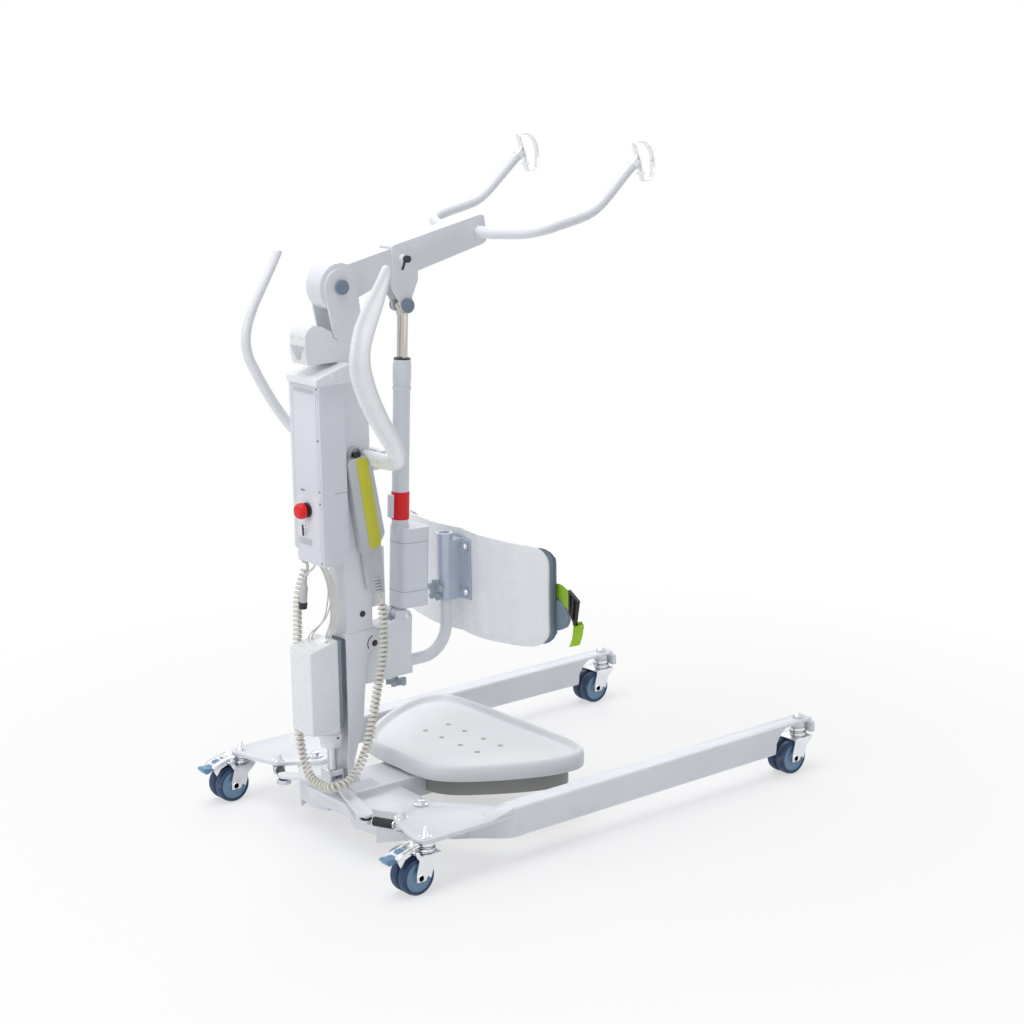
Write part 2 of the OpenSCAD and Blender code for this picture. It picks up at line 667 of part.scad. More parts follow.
module sling_hook() {
  placed() translate([arm_dx, -arm_y, arm_dz]) {
    difference() {
      across(2 * hook_r) difference() {
        polygon([[728, 1308], [756, 1308], [761, 1318], [762, 1349], [756, 1371], [742, 1386],
          [725, 1392], [709, 1390], [706, 1381], [713, 1361], [721, 1342], [725, 1325]]);
        polygon([[733, 1313], [752, 1313], [756, 1320], [757, 1348], [751, 1368], [739, 1381],
          [724, 1387], [713, 1385], [713, 1381], [719, 1364], [727, 1344], [731, 1326]]);
      }
      translate([714.5, 0, 1351]) rotate([0, 50, 0]) translate([0, 0, -60])
        cylinder(r = arm_r + run, h = 60 + gap);
    }
    translate([727, 0, 1325]) ycyl(4, 2 * hook_r + 6);
  }
}
module sling_hooks() {
  color([0.8, 0.81, 0.83]) {
    sling_hook();
    left() sling_hook();
  }
}

/* lift actuator */
act_dx = rod_pin_x - foot_pin_x;
act_dz = rod_pin_z - foot_pin_z;
act_tilt = atan2(act_dx, act_dz);
act_len = norm([act_dx, act_dz]);
module act_at() {
  translate([foot_pin_x, 0, foot_pin_z]) rotate([0, act_tilt, 0]) children();
}
module actuator_housing() {
  color([0.9, 0.91, 0.94]) placed() act_at() difference() {
    union() {
      translate([26, 0, 16]) rbox(72, 58, 166, 16);
      translate([-2, -11, -2]) cube([16, 22, 30]);
      ycyl(12, 22);
      cylinder_at(tube_r + 1.5, 170, 18);
    }
    ycyl(6 + run, 80);
  }
}
module actuator_tube() {
  color([0.9, 0.91, 0.94]) placed() act_at() difference() {
    union() {
      cylinder_at(tube_r, 188, 340);
      cylinder_at(tube_r + 1.2, 480, 42);
    }
    cylinder_at(rod_r + run, 192, 350);
  }
}
module cylinder_at(r, z, h) {
  translate([2 + 0, 0, z]) cylinder(r = r, h = h);
}
module actuator_rod() {
  color([0.55, 0.5, 0.46]) placed() act_at() difference() {
    union() {
      cylinder_at(rod_r, 330, act_len - 330 - 4);
      translate([0, 0, act_len]) ycyl(12, 18);
      translate([-8, -9, act_len - 20]) cube([18, 18, 20]);
    }
    translate([0, 0, act_len]) ycyl(7.5, 80);
  }
}
module release_grip() {
  color([0.85, 0.03, 0.03]) placed() act_at() difference() {
    cylinder_at(tube_r + 4, 198, 60);
    cylinder_at(tube_r + run, 197, 62);
  }
}

/* leg support */
module support_bracket() {
  w = 2 * mh - 4;
  color([0.9, 0.9, 0.94]) placed() {
    difference() {
      union() {
        across(w) polygon([[mast_f + 18.5, 420], [mast_f + 16.5, 401.7], [mast_f + 2.4, 391.5],
          [122.5, 380.6], [117.4, 330], [120, 322], [236, 322], [234, 366], [238, 446], [232, 456],
          [222, 460], [211, 456], [204, 440], [160, 430]]);
        translate([150, 0, jt_z]) xcyl(18, 84);
      }
      across(24) polygon([[195, 376], [250, 376], [250, 470], [195, 470]]);
      translate([110, 0, jt_z]) xcyl(jt_r + run, 150);
      translate([foot_pin_x - 9, 0, 310]) cylinder(r = 4 + run, h = 28);
    }
    translate([foot_pin_x, 0, foot_pin_z]) ycyl(6, w + 8);
    for (s = [-1, 1])
      translate([foot_pin_x, s * (w / 2 + 2), foot_pin_z]) ycyl(10, 4);
  }
}
module support_tube() {
  b = 62;
  color([0.93, 0.93, 0.94]) placed() {
    translate([152, 0, jt_z]) xcyl(jt_r, jt_x - b - 152);
    translate([jt_x - b, 0, jt_z + b]) rotate([90, 90, 0])
      rotate_extrude(angle = 90) translate([b, 0]) circle(jt_r);
    translate([jt_x, 0, jt_z + b]) cylinder(r = jt_r, h = 590 - jt_z - b);
  }
}
module support_rail() {
  x1 = shell_back(44) + 0.9;
  color([0.72, 0.74, 0.77]) placed() difference() {
    union() {
      translate([jt_x, 0, 455]) cylinder(r = 17, h = 143);
      translate([jt_x, -17, 455]) cube([x1 - 6 - jt_x, 34, 128]);
      translate([x1 - 6, -44, 455]) cube([5, 88, 128]);
      translate([jt_x - 20, 0, 478]) xcyl(9, 20);
    }
    translate([jt_x, 0, 450]) cylinder(r = jt_r + run, h = 160);
    translate([jt_x - 22, 0, 478]) xcyl(4 + run, 14);
  }
}
// Five-armed clamping knob standing on +Z with its stem below.
module star_knob(stem) {
  cylinder(r = 9, h = 12);
  for (k = [0 : 4])
    rotate([0, 0, 72 * k]) translate([0, -4.5, 0]) cube([22, 9, 10]);
  translate([0, 0, -stem]) cylinder(r = 4, h = stem + 1);
}
module knob_height() {
  color([0.55, 0.58, 0.62]) placed() translate([jt_x - 22, 0, 478]) rotate([0, -90, 0])
    star_knob(7);
}
module knob_depth() {
  color([0.55, 0.58, 0.62]) placed() translate([foot_pin_x - 9, 0, jt_z - jt_r - 21.5]) mirror([0, 0, 1])
    star_knob(20);
}
function shell_back(y) = 388 - 9 * sin(min(abs(y), 150) * 1.2)
  + (abs(y) > 150 ? pow((abs(y) - 150) / (shell_hw - 150), 1.6) * shell_curl : 0);
function pad_front(y) = pad_t - pad_taper * pow(abs(y) / shell_hw, 3);
function shell_line(d, hw) = [for (k = [-10 : 10]) let (y = k * hw / 10) [shell_back(y) + d, y]];
function pad_line(hw) = [for (k = [-10 : 10]) let (y = k * hw / 10) [shell_back(y) + pad_front(y), y]];
module shell_plan(a, b) {
  polygon(concat(a, [for (i = [len(b) - 1 : -1 : 0]) b[i]]));
}
module shell_outline(inset) {
  h = shell_top - shell_low - 2 * inset;
  translate([0, 0, (shell_top + shell_low) / 2]) rotate([90, 0, 90])
    linear_extrude(520) rrect(2 * (shell_hw - inset), h, 34);
}
module leg_shell() {
  color([0.94, 0.94, 0.95]) placed() intersection() {
    translate([0, 0, shell_low - 5]) linear_extrude(shell_top - shell_low + 10)
      shell_plan(shell_line(0, shell_hw), shell_line(5, shell_hw));
    shell_outline(0);
  }
}
module knee_pad() {
  color([0.45, 0.51, 0.58]) placed() intersection() {
    translate([0, 0, shell_low - 5]) linear_extrude(shell_top - shell_low + 10)
      shell_plan(shell_line(5.3, shell_hw - 2), pad_line(shell_hw - 2));
    shell_outline(2);
  }
}
function strap_path() = smooth([[439, -shell_hw + 1.2, 498], [441, -shell_hw - 12, 498],
  [438, -shell_hw - 32, 497], [433, -shell_hw - 48.9, 496]], 3);
module calf_strap() {
  color([0.52, 0.78, 0.08]) placed() {
    sweep(strap_path(), [for (q = strap_path()) 1.4], [for (q = strap_path()) 20], [0, 0, 1], 12);
    translate([0, 250 - shell_hw, 0]) hull() {
      translate([431, -333, 447]) cube([3, 42, 2]);
      translate([436, -347, 410]) cube([3, 30, 2]);
    }
  }
}
module strap_buckle() {
  color([0.05, 0.06, 0.07]) placed() translate([0, 250 - shell_hw, 0]) hull() {
    translate([427, -331, 484]) cube([9, 30.7, 30]);
    translate([428, -332, 449.3]) cube([8, 26, 14]);
  }
}

/* handset and leads */
module handset() {
  color([0.72, 0.73, 0.74]) placed() translate([0, -mh - 0.6, 0]) {
    translate([0, -11, 0]) across(22) polygon([[82, 796], [75.5, 786], [104, 606], [112, 598],
      [152, 626], [158, 638], [130, 792], [122, 800]]);
    translate([0, -10, 0]) across(14) polygon([[110, 600], [122, 520], [158, 512], [150, 630]]);
    translate([104, -3, 802]) difference() {
      ycyl(17, 6);
      ycyl(13, 8);
    }
  }
}
function cord_path() = smooth([[147, -41, 511.9], [147, -42, 500], [150, -47, 484], [146, -54, 433], [139, -58, 379],
  [122, -60, 316], [106, -62, 254], [82, -68, 196], [42, -79, 154], [4, -75, 141], [-3, -36, 134],
  [-3, 8, 144], [-1, 35, 180], [0, 48, 232], [2, 49, 300], [4, 49, 370], [6, 48.5, 440],
  [9, 47, 505], [17, 41, 548], [24, 36, 574], [24, 36, box_z0 - 0.7]], 4);
module handset_cord() {
  color([0.86, 0.84, 0.78]) placed() tube(cord_path(), 10, [0.6, 0.8, 0], 12);
}
function lead_path(s) = smooth([[34, s * 12 - 14, box_z0 - 0.4], [34, s * 12 - 14, 572], [31, s * 10 - 16, 552],
  [32, s * 6 - 18, 520], [42, s * 6 - 10, 480], [47, s * 7 - 3, 456], [47, s * 7, 445],
  [47, s * 7, 436]], 4);
module box_leads() {
  color([0.9, 0.9, 0.88]) placed()
    for (s = [-1, 1])
      tube(lead_path(s), 3, [0.2, 1, 0], 10);
}

base_frame();
leg_pivot_bolts();
right_leg();
left_leg();
footplate();
footplate_carrier();
tie_rod_right();
tie_rod_left();
tie_sleeve_right();
tie_sleeve_left();
base_actuator_cover();
base_actuator_rod();
link_right();
link_left();
fork_rr();
fork_rl();
fork_fr();
fork_fl();
hub_rr();
hub_rl();
hub_fr();
hub_fl();
tyre_rr();
tyre_rl();
tyre_fr();
tyre_fl();
pedal_right();
pedal_left();
mast_lower();
mast_upper();
head_cowl();
push_handle_right();
push_handle_left();
control_box();
control_cap();
estop_collar();
estop_button();
pivot_pin();
boom_beam();
clevis_caps();
boom_sleeve();
plunger_knob();
sling_arms();
sling_hooks();
actuator_housing();
actuator_tube();
actuator_rod();
release_grip();
support_bracket();
support_tube();
support_rail();
knob_height();
knob_depth();
leg_shell();
knee_pad();
calf_strap();
strap_buckle();
handset();
handset_cord();
box_leads();
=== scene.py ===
"""Looks of a sit to stand lift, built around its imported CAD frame.

Metres, in the row frame: +X to the open ends of the legs, +Y to the lift's left, +Z up.
"""
import math

import bmesh
import bpy
import numpy as np
from mathutils import Matrix, Vector
from mathutils.bvhtree import BVHTree


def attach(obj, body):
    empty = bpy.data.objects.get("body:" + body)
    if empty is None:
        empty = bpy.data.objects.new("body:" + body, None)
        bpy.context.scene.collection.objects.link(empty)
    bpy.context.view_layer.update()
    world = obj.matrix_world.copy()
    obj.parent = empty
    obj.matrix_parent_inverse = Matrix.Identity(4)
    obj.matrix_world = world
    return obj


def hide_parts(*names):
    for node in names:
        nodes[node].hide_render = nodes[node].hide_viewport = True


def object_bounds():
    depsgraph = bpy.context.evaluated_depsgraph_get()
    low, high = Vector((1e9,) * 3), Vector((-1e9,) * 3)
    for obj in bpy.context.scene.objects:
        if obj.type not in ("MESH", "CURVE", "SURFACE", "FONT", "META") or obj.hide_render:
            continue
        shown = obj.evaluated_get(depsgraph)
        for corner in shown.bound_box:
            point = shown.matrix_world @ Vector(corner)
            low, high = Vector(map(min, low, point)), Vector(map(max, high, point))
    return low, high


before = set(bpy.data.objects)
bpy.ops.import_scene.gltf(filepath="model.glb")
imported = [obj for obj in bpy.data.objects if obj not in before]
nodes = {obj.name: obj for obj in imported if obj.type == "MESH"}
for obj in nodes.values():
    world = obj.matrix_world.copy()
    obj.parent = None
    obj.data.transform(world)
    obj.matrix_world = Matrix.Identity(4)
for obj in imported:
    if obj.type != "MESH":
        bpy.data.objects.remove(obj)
cad_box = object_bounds()

MM = 0.001
SHIFT = -511 * MM          # the row's centre seen from the rear wheel centres
TAU = 2 * math.pi
# Places in the source's lines, in millimetres from the rear wheel centres.
ACTUATOR_X = 46            # the base motor's axis
REAR_CASTER = (34, 334)    # x and half track of the swivel axes
FRONT_CASTER = (1061, 332)
TRAIL = 34                 # from a swivel axis back to its axle
AXLE_Z = 37.5
TIE_PIN = (58, 222)        # on each wing plate
TIE_BALL = (24, 150)
TIE_AIM = (34, 72)         # from a ball to its pin
FOOT_PIN = (222, 446)      # x and z of the lift actuator's lower pin
ROD_PIN = (252, 1083)
SLING_Y = 187
STRAP_END = -250           # where the calf strap leaves the pad
SHELL_HALF = 243
PAD_HALF = 251
PAD_SWELL = 7              # most that a point of the pad may move
SHARP = 34                 # degrees from which an edge stays crisp


def at(x, y, z):
    """A point given in millimetres from the rear wheel centres, in the row frame."""
    return Vector((x * MM + SHIFT, y * MM, z * MM))


def put(name, data):
    """An object made from data and linked to the scene."""
    obj = bpy.data.objects.new(name, data)
    bpy.context.scene.collection.objects.link(obj)
    return obj


# ---------------------------------------------------------------- camera

def make_camera():
    yaw, pitch, roll = math.radians(51.41), math.radians(13.486), math.radians(-0.848)
    ahead = Vector((math.cos(pitch) * math.cos(yaw), math.cos(pitch) * math.sin(yaw),
                    -math.sin(pitch)))
    right = Vector((math.sin(yaw), -math.cos(yaw), 0))
    up = right.cross(ahead)
    r2 = math.cos(roll) * right + math.sin(roll) * up
    u2 = -math.sin(roll) * right + math.cos(roll) * up
    data = bpy.data.cameras.new("camera")
    data.sensor_width = 36
    data.lens = 78.17
    camera = put("camera", data)
    turn = Matrix((r2, u2, -ahead)).transposed().to_4x4()
    camera.matrix_world = Matrix.Translation((-2.8546, -3.5964, 1.7152)) @ turn
    bpy.context.scene.camera = camera


make_camera()


# ---------------------------------------------------------------- materials

def new_material(name):
    m = bpy.data.materials.new(name)
    m.use_nodes = True
    tree = m.node_tree
    shader = tree.nodes["Principled BSDF"]
    return m, tree, shader


def add(tree, kind, **values):
    n = tree.nodes.new(kind)
    for k, v in values.items():
        if k in n.inputs:
            n.inputs[k].default_value = v
        else:
            setattr(n, k, v)
    return n


def noise(tree, vector, scale, detail=3.0, rough=0.55):
    n = add(tree, "ShaderNodeTexNoise", Scale=scale, Detail=detail, Roughness=rough)
    tree.links.new(vector, n.inputs["Vector"])
    return n.outputs["Fac"]


def spread(tree, value, low, high, out_low, out_high):
    n = add(tree, "ShaderNodeMapRange")
    n.inputs["From Min"].default_value = low
    n.inputs["From Max"].default_value = high
    n.inputs["To Min"].default_value = out_low
    n.inputs["To Max"].default_value = out_high
    tree.links.new(value, n.inputs["Value"])
    return n.outputs["Result"]


def mix_colour(tree, factor, a, b):
    n = tree.nodes.new("ShaderNodeMix")
    n.data_type = "RGBA"
    for socket, value in ((n.inputs[6], a), (n.inputs[7], b)):
        if isinstance(value, tuple):
            socket.default_value = (*value, 1)
        else:
            tree.links.new(value, socket)
    tree.links.new(factor, n.inputs[0])
    return n.outputs[2]


def bump(tree, height, distance, strength, under=None):
    n = add(tree, "ShaderNodeBump", Distance=distance, Strength=strength)
    tree.links.new(height, n.inputs["Height"])
    if under is not None:
        tree.links.new(under, n.inputs["Normal"])
    return n.outputs["Normal"]


def surface(name, colour, rough, metal=0.0, mottle=0.05, wear=None, grain=(900, 0.05, 0.35),
            stretch=(1, 1, 1), coat=0.0, vary=0.08, blotch=7.0):
    """A procedural finish: soft colour blotches, uneven gloss, fine grain, and grime or wear."""
    m, tree, shader = new_material(name)
    shader.inputs["Metallic"].default_value = metal
    shader.inputs["Coat Weight"].default_value = coat
    shader.inputs["Coat Roughness"].default_value = 0.12
    place = add(tree, "ShaderNodeTexCoord").outputs["Object"]
    mapping = add(tree, "ShaderNodeMapping", Scale=stretch)
    tree.links.new(place, mapping.inputs["Vector"])
    long = mapping.outputs["Vector"]
    dark = tuple(c * (1 - mottle) for c in colour)
    light = tuple(min(1, c * (1 + mottle)) for c in colour)
    tone = mix_colour(tree, spread(tree, noise(tree, place, blotch, 4), 0.3, 0.7, 0, 1), dark, light)
    if wear:
        worn, low, high = wear
        patches = spread(tree, noise(tree, place, 38, 8, 0.7), low, high, 0, 1)
        tone = mix_colour(tree, patches, tone, worn)
    tree.links.new(tone, shader.inputs["Base Color"])
    gloss = spread(tree, noise(tree, long, 26, 5, 0.65), 0.3, 0.7, rough - vary, rough + vary)
    tree.links.new(gloss, shader.inputs["Roughness"])
    scale, distance, strength = grain
    fine = noise(tree, long, scale, 2, 0.5)
    broad = noise(tree, long, scale / 9, 2, 0.5)
    normal = bump(tree, broad, distance * MM * 3, strength * 0.4)
    tree.links.new(bump(tree, fine, distance * MM, strength, normal), shader.inputs["Normal"])
    return m


GRIME = (0.60, 0.61, 0.61)
M = {
    "powder": surface("powder_white", (0.80, 0.82, 0.86), 0.38, wear=(GRIME, 0.66, 0.86)),
    "leg": surface("leg_white", (0.80, 0.82, 0.86), 0.36, wear=(GRIME, 0.64, 0.84)),
    "white": surface("white_moulding", (0.84, 0.86, 0.88), 0.28, mottle=0.012, coat=0.2,
                     grain=(500, 0.02, 0.2), wear=(GRIME, 0.78, 1.1)),
    "box": surface("box_moulding", (0.77, 0.79, 0.85), 0.42, mottle=0.02,
                   grain=(1400, 0.05, 0.5), wear=(GRIME, 0.7, 0.88)),
    "foot": surface("foot_moulding", (0.83, 0.85, 0.87), 0.36, mottle=0.015,
                    grain=(1100, 0.06, 0.4), wear=(GRIME, 0.7, 1.0)),
    "cap": surface("cap_blue_grey", (0.17, 0.23, 0.31), 0.3, mottle=0.08, coat=0.3),
    "zinc": surface("bright_zinc", (0.78, 0.80, 0.83), 0.2, metal=1.0, mottle=0.08,
                    grain=(420, 0.04, 0.3), wear=((0.35, 0.34, 0.32), 0.62, 0.82)),
    "chrome": surface("chrome", (0.80, 0.81, 0.82), 0.07, metal=1.0, mottle=0.03, vary=0.04,
                      grain=(300, 0.02, 0.12)),
    "rod": surface("rod_chrome", (0.52, 0.49, 0.46), 0.16, metal=1.0, mottle=0.05, vary=0.06,
                   stretch=(1, 1, 0.06), grain=(900, 0.03, 0.25)),
    "steel": surface("satin_steel", (0.62, 0.64, 0.68), 0.3, metal=1.0, mottle=0.06,
                     stretch=(1, 1, 0.04), grain=(1300, 0.05, 0.5)),
    "tyre": surface("tyre_navy", (0.012, 0.045, 0.11), 0.5, mottle=0.25,
                    grain=(700, 0.12, 0.6), wear=((0.16, 0.18, 0.2), 0.56, 0.8)),
    "hub": surface("hub_blue", (0.17, 0.30, 0.44), 0.36, mottle=0.1,
                   wear=((0.32, 0.38, 0.42), 0.6, 0.85)),
    "pedal": surface("pedal_blue", (0.14, 0.28, 0.44), 0.4, mottle=0.08,
                     wear=((0.34, 0.38, 0.42), 0.6, 0.85)),
    "black": surface("black_moulding", (0.018, 0.018, 0.022), 0.42, mottle=0.2,
                     wear=((0.1, 0.1, 0.1), 0.62, 0.86)),
    "rubber": surface("black_rubber", (0.014, 0.014, 0.016), 0.6, mottle=0.2,
                      grain=(600, 0.1, 0.7)),
    "red": surface("red_moulding", (0.80, 0.002, 0.006), 0.46, mottle=0.06),
    "knob": surface("knob_grey", (0.38, 0.43, 0.49), 0.5, mottle=0.06),
    # Dark grey for the carrier under the tray: its shade there is painted into its colour.
    "carrier": surface("carrier_grey", (0.30, 0.30, 0.29), 0.5, mottle=0.06),
    "handset": surface("handset_grey", (0.56, 0.58, 0.60), 0.4, mottle=0.04,
                       grain=(1500, 0.05, 0.5), wear=(GRIME, 0.66, 0.86)),
    "yellow": surface("plain_yellow", (0.62, 0.60, 0.03), 0.36, mottle=0.06,
                      wear=((0.4, 0.38, 0.05), 0.62, 0.84)),
    "cream": surface("cord_cream", (0.74, 0.72, 0.66), 0.42, mottle=0.05,
                     grain=(900, 0.04, 0.3)),
    "lead": surface("lead_white", (0.70, 0.70, 0.66), 0.4, mottle=0.04),
    "rail": surface("rail_zinc", (0.50, 0.55, 0.65), 0.34, metal=0.35, mottle=0.06,
                    stretch=(1, 1, 0.05), grain=(1300, 0.05, 0.4)),
    # Dark blue-grey painted shade for the strip between the motor cover and the mast.
    "web_shade": surface("cover_web_painted_shade", (0.30, 0.36, 0.43), 0.45, mottle=0.06),
    # Dark grey for seams, and painted shade in slots and on screws and bolts.
    "shadow": surface("seam_and_shadow_grey", (0.20, 0.21, 0.23), 0.6, mottle=0.1),
    # Grey for the bare labels and battery handle; also the painted shade of the cowl's chamfer.
    "label": surface("bare_label_and_chamfer_shade", (0.56, 0.58, 0.62), 0.34, mottle=0.03),
}


def webbing(name, colour):
    """Ribbed strap webbing: picks across the strap, fine ends along it, and a little fuzz."""
    m, tree, shader = new_material(name)
    place = add(tree, "ShaderNodeTexCoord").outputs["Object"]
    ribs = add(tree, "ShaderNodeTexWave", Scale=330, Distortion=0.6, Detail=2)
    ribs.bands_direction = "Y"
    ends = add(tree, "ShaderNodeTexWave", Scale=420, Distortion=0.4, Detail=1)
    ends.bands_direction = "Z"
    for wave in (ribs, ends):
        tree.links.new(place, wave.inputs["Vector"])
    dark = tuple(c * 0.72 for c in colour)
    tone = mix_colour(tree, ribs.outputs["Fac"], dark, colour)
    tone = mix_colour(tree, spread(tree, noise(tree, place, 60, 5), 0.35, 0.75, 0, 0.5), tone, dark)
    tree.links.new(tone, shader.inputs["Base Color"])
    shader.inputs["Roughness"].default_value = 0.8
    shader.inputs["Sheen Weight"].default_value = 0.08
    first = bump(tree, ribs.outputs["Fac"], 0.4 * MM, 0.8)
    tree.links.new(bump(tree, ends.outputs["Fac"], 0.25 * MM, 0.6, first), shader.inputs["Normal"])
    return m


def vinyl(name, colour):
    """Upholstery vinyl: pebbled grain, soft creases and a satin skin."""
    m, tree, shader = new_material(name)
    place = add(tree, "ShaderNodeTexCoord").outputs["Object"]
    cells = add(tree, "ShaderNodeTexVoronoi", Scale=620)
    tree.links.new(place, cells.inputs["Vector"])
    light = tuple(c * 1.14 for c in colour)
    dark = tuple(c * 0.84 for c in colour)
    tone = mix_colour(tree, spread(tree, noise(tree, place, 9, 4), 0.3, 0.7, 0, 1), dark, light)
    tree.links.new(tone, shader.inputs["Base Color"])
    gloss = spread(tree, noise(tree, place, 30, 4), 0.3, 0.7, 0.36, 0.52)
    tree.links.new(gloss, shader.inputs["Roughness"])
    creases = bump(tree, noise(tree, place, 22, 4, 0.6), 1.2 * MM, 0.35)
    grain = bump(tree, cells.outputs["Distance"], 0.35 * MM, 0.5, creases)
    tree.links.new(grain, shader.inputs["Normal"])
    return m


M["strap"] = webbing("strap_lime", (0.40, 0.72, 0.006))
M["pad"] = vinyl("pad_vinyl", (0.15, 0.20, 0.26))
M["piping"] = vinyl("piping_vinyl", (0.10, 0.135, 0.18))

WORN_BY = {
    "powder": "base_frame link_right link_left mast_lower mast_upper boom_beam boom_sleeve "
              "sling_arms support_bracket support_tube",
    "steel": "leg_pivot_bolts tie_rod_right tie_rod_left base_actuator_rod",
    "leg": "right_leg left_leg",
    "foot": "footplate",
    "carrier": "footplate_carrier",
    "rubber": "tie_sleeve_right tie_sleeve_left",
    "white": "base_actuator_cover head_cowl push_handle_right push_handle_left control_cap "
             "leg_shell",
    "pedal": "pedal_right pedal_left",
    "box": "control_box actuator_housing actuator_tube",
    "black": "estop_collar plunger_knob strap_buckle",
    "red": "estop_button release_grip",
    "cap": "pivot_pin clevis_caps",
    "chrome": "sling_hooks",
    "rod": "actuator_rod",
    "rail": "support_rail",
    "knob": "knob_height knob_depth",
    "pad": "knee_pad",
    "strap": "calf_strap",
    "handset": "handset",
    "cream": "handset_cord",
    "lead": "box_leads",
}
FINISH = {name: key for key, names in WORN_BY.items() for name in names.split()}
for corner in ("rr", "rl", "fr", "fl"):
    FINISH.update({"fork_" + corner: "zinc", "hub_" + corner: "hub", "tyre_" + corner: "tyre"})
SOFTEN = {"leg_shell": 1.6, "footplate": 3, "control_box": 3, "control_cap": 2.5,
          "head_cowl": 4, "base_actuator_cover": 7, "mast_upper": 2, "mast_lower": 2,
          "boom_beam": 1.2, "boom_sleeve": 1.2, "actuator_housing": 3, "handset": 4,
          "right_leg": 1.0, "left_leg": 1.0, "knob_height": 1.5, "knob_depth": 1.5,
          "pedal_right": 1.2, "pedal_left": 1.2, "footplate_carrier": 4, "support_bracket": 1.5,
          "release_grip": 1.2, "sling_hooks": 0.8}


def smooth_group():
    """A modifier that smooths all but the sharp edges."""
    g = bpy.data.node_groups.new("soft_shading", "GeometryNodeTree")
    g.interface.new_socket("Geometry", in_out="INPUT", socket_type="NodeSocketGeometry")
    g.interface.new_socket("Geometry", in_out="OUTPUT", socket_type="NodeSocketGeometry")
    i, o = g.nodes.new("NodeGroupInput"), g.nodes.new("NodeGroupOutput")
    faces = g.nodes.new("GeometryNodeSetShadeSmooth")
    edges = g.nodes.new("GeometryNodeSetShadeSmooth")
    edges.domain = "EDGE"
    angle = g.nodes.new("GeometryNodeInputMeshEdgeAngle")
    compare = g.nodes.new("FunctionNodeCompare")
    compare.operation = "LESS_THAN"
    compare.inputs["B"].default_value = math.radians(SHARP)
    g.links.new(i.outputs[0], faces.inputs[0])
    g.links.new(faces.outputs[0], edges.inputs[0])
    g.links.new(angle.outputs["Unsigned Angle"], compare.inputs["A"])
    g.links.new(compare.outputs[0], edges.inputs["Shade Smooth"])
    g.links.new(edges.outputs[0], o.inputs[0])
    return g


SMOOTH = smooth_group()


def soften(obj, width, segments=2):
    """Weld split corners, bevel the edges by a width in millimetres and shade them."""
    weld = obj.modifiers.new("weld", "WELD")
    weld.merge_threshold = 0.02 * MM
    if width:
        edge = obj.modifiers.new("edges", "BEVEL")
        edge.width = width * MM
        edge.segments = segments
        edge.limit_method = "ANGLE"
        edge.angle_limit = math.radians(SHARP)
        edge.use_clamp_overlap = True
    shade = obj.modifiers.new("shading", "NODES")
    shade.node_group = SMOOTH


def paint(obj, key):
    obj.data.materials.clear()
    obj.data.materials.append(M[key])


for name, obj in nodes.items():
    paint(obj, FINISH[name])
    soften(obj, SOFTEN.get(name, 0.5), 3 if SOFTEN.get(name, 0.5) > 1.5 else 2)


# ---------------------------------------------------------------- helpers for new pieces

def piece(name, bm, key, body, soft=0.0, segments=2):
    """A mesh object that rides on a body, with softened edges."""
    mesh = bpy.data.meshes.new(name)
    bmesh.ops.remove_doubles(bm, verts=bm.verts, dist=1e-6)
    bmesh.ops.recalc_face_normals(bm, faces=bm.faces)
    bm.to_mesh(mesh)
    bm.free()
    obj = put(name, mesh)
    mesh.materials.append(M[key])
    soften(obj, soft, segments)
    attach(obj, body)
    return obj


def frames(points):
    """Tangent, side and up at each point of a line, carried along without twist."""
    p = np.asarray(points, float)
    t = np.gradient(p, axis=0)
    t /= np.linalg.norm(t, axis=1)[:, None]
    side = np.cross(t[0], (0, 0, 1) if abs(t[0][2]) < 0.9 else (1, 0, 0))
    side /= np.linalg.norm(side)
    out = []
    for k in range(len(p)):
        side = side - t[k] * np.dot(side, t[k])
        side /= np.linalg.norm(side)
        out.append((t[k], side.copy(), np.cross(t[k], side)))
    return out


def catmull(points, steps):
    """A smooth line through points, in a number of steps from each to the next."""
    p = [np.array(q, float) for q in points]
    p = [2 * p[0] - p[1]] + p + [2 * p[-1] - p[-2]]
    out = []
    for i in range(1, len(p) - 2):
        a, b, c, d = p[i - 1:i + 3]
        for k in range(steps):
            t = k / steps
            out.append(0.5 * (2 * b + (c - a) * t + (2 * a - 5 * b + 4 * c - d) * t * t
                              + (3 * b - a - 3 * c + d) * t ** 3))
    out.append(p[-2])
    return np.array(out)


def resample(line, step):
    """The line at even steps, and its length."""
    along = np.concatenate([[0], np.cumsum(np.linalg.norm(np.diff(line, axis=0), axis=1))])
    want = np.linspace(0, along[-1], max(3, int(along[-1] / step)))
    return np.stack([np.interp(want, along, line[:, k]) for k in range(3)], 1), along[-1]


def routed(points, steps, spacing):
    """An even line through places given in millimetres, and its length."""
    return resample(catmull([at(*q) for q in points], steps), spacing)


def wire(name, points, radius, key, body):
    """A round wire along points, in metres."""
    curve = bpy.data.curves.new(name, "CURVE")
    curve.dimensions = "3D"
    curve.bevel_depth = radius
    curve.bevel_resolution = 3
    curve.use_fill_caps = True
    spline = curve.splines.new("POLY")
    spline.points.add(len(points) - 1)
    for q, point in zip(points, spline.points):
        point.co = (*q, 1)
    obj = put(name, curve)
    curve.materials.append(M[key])
    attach(obj, body)
    return obj


# ---------------------------------------------------------------- cords

CORD_ROUTE = [(147, -41, 511.9), (147, -42, 500), (150, -47, 484), (146, -54, 433),
              (139, -58, 379), (122, -60, 316), (106, -62, 254), (82, -68, 196), (42, -79, 154),
              (4, -75, 141), (-3, -36, 134), (-3, 8, 144), (-1, 35, 180), (0, 48, 232),
              (2, 49, 300), (4, 49, 370), (6, 48.5, 440), (9, 47, 505), (17, 41, 548),
              (24, 36, 574), (24, 36, 588.3)]
CORD_WIRE = 6.2 * MM
COIL_OUT = 20 * MM
COIL_PITCH = 9.6 * MM


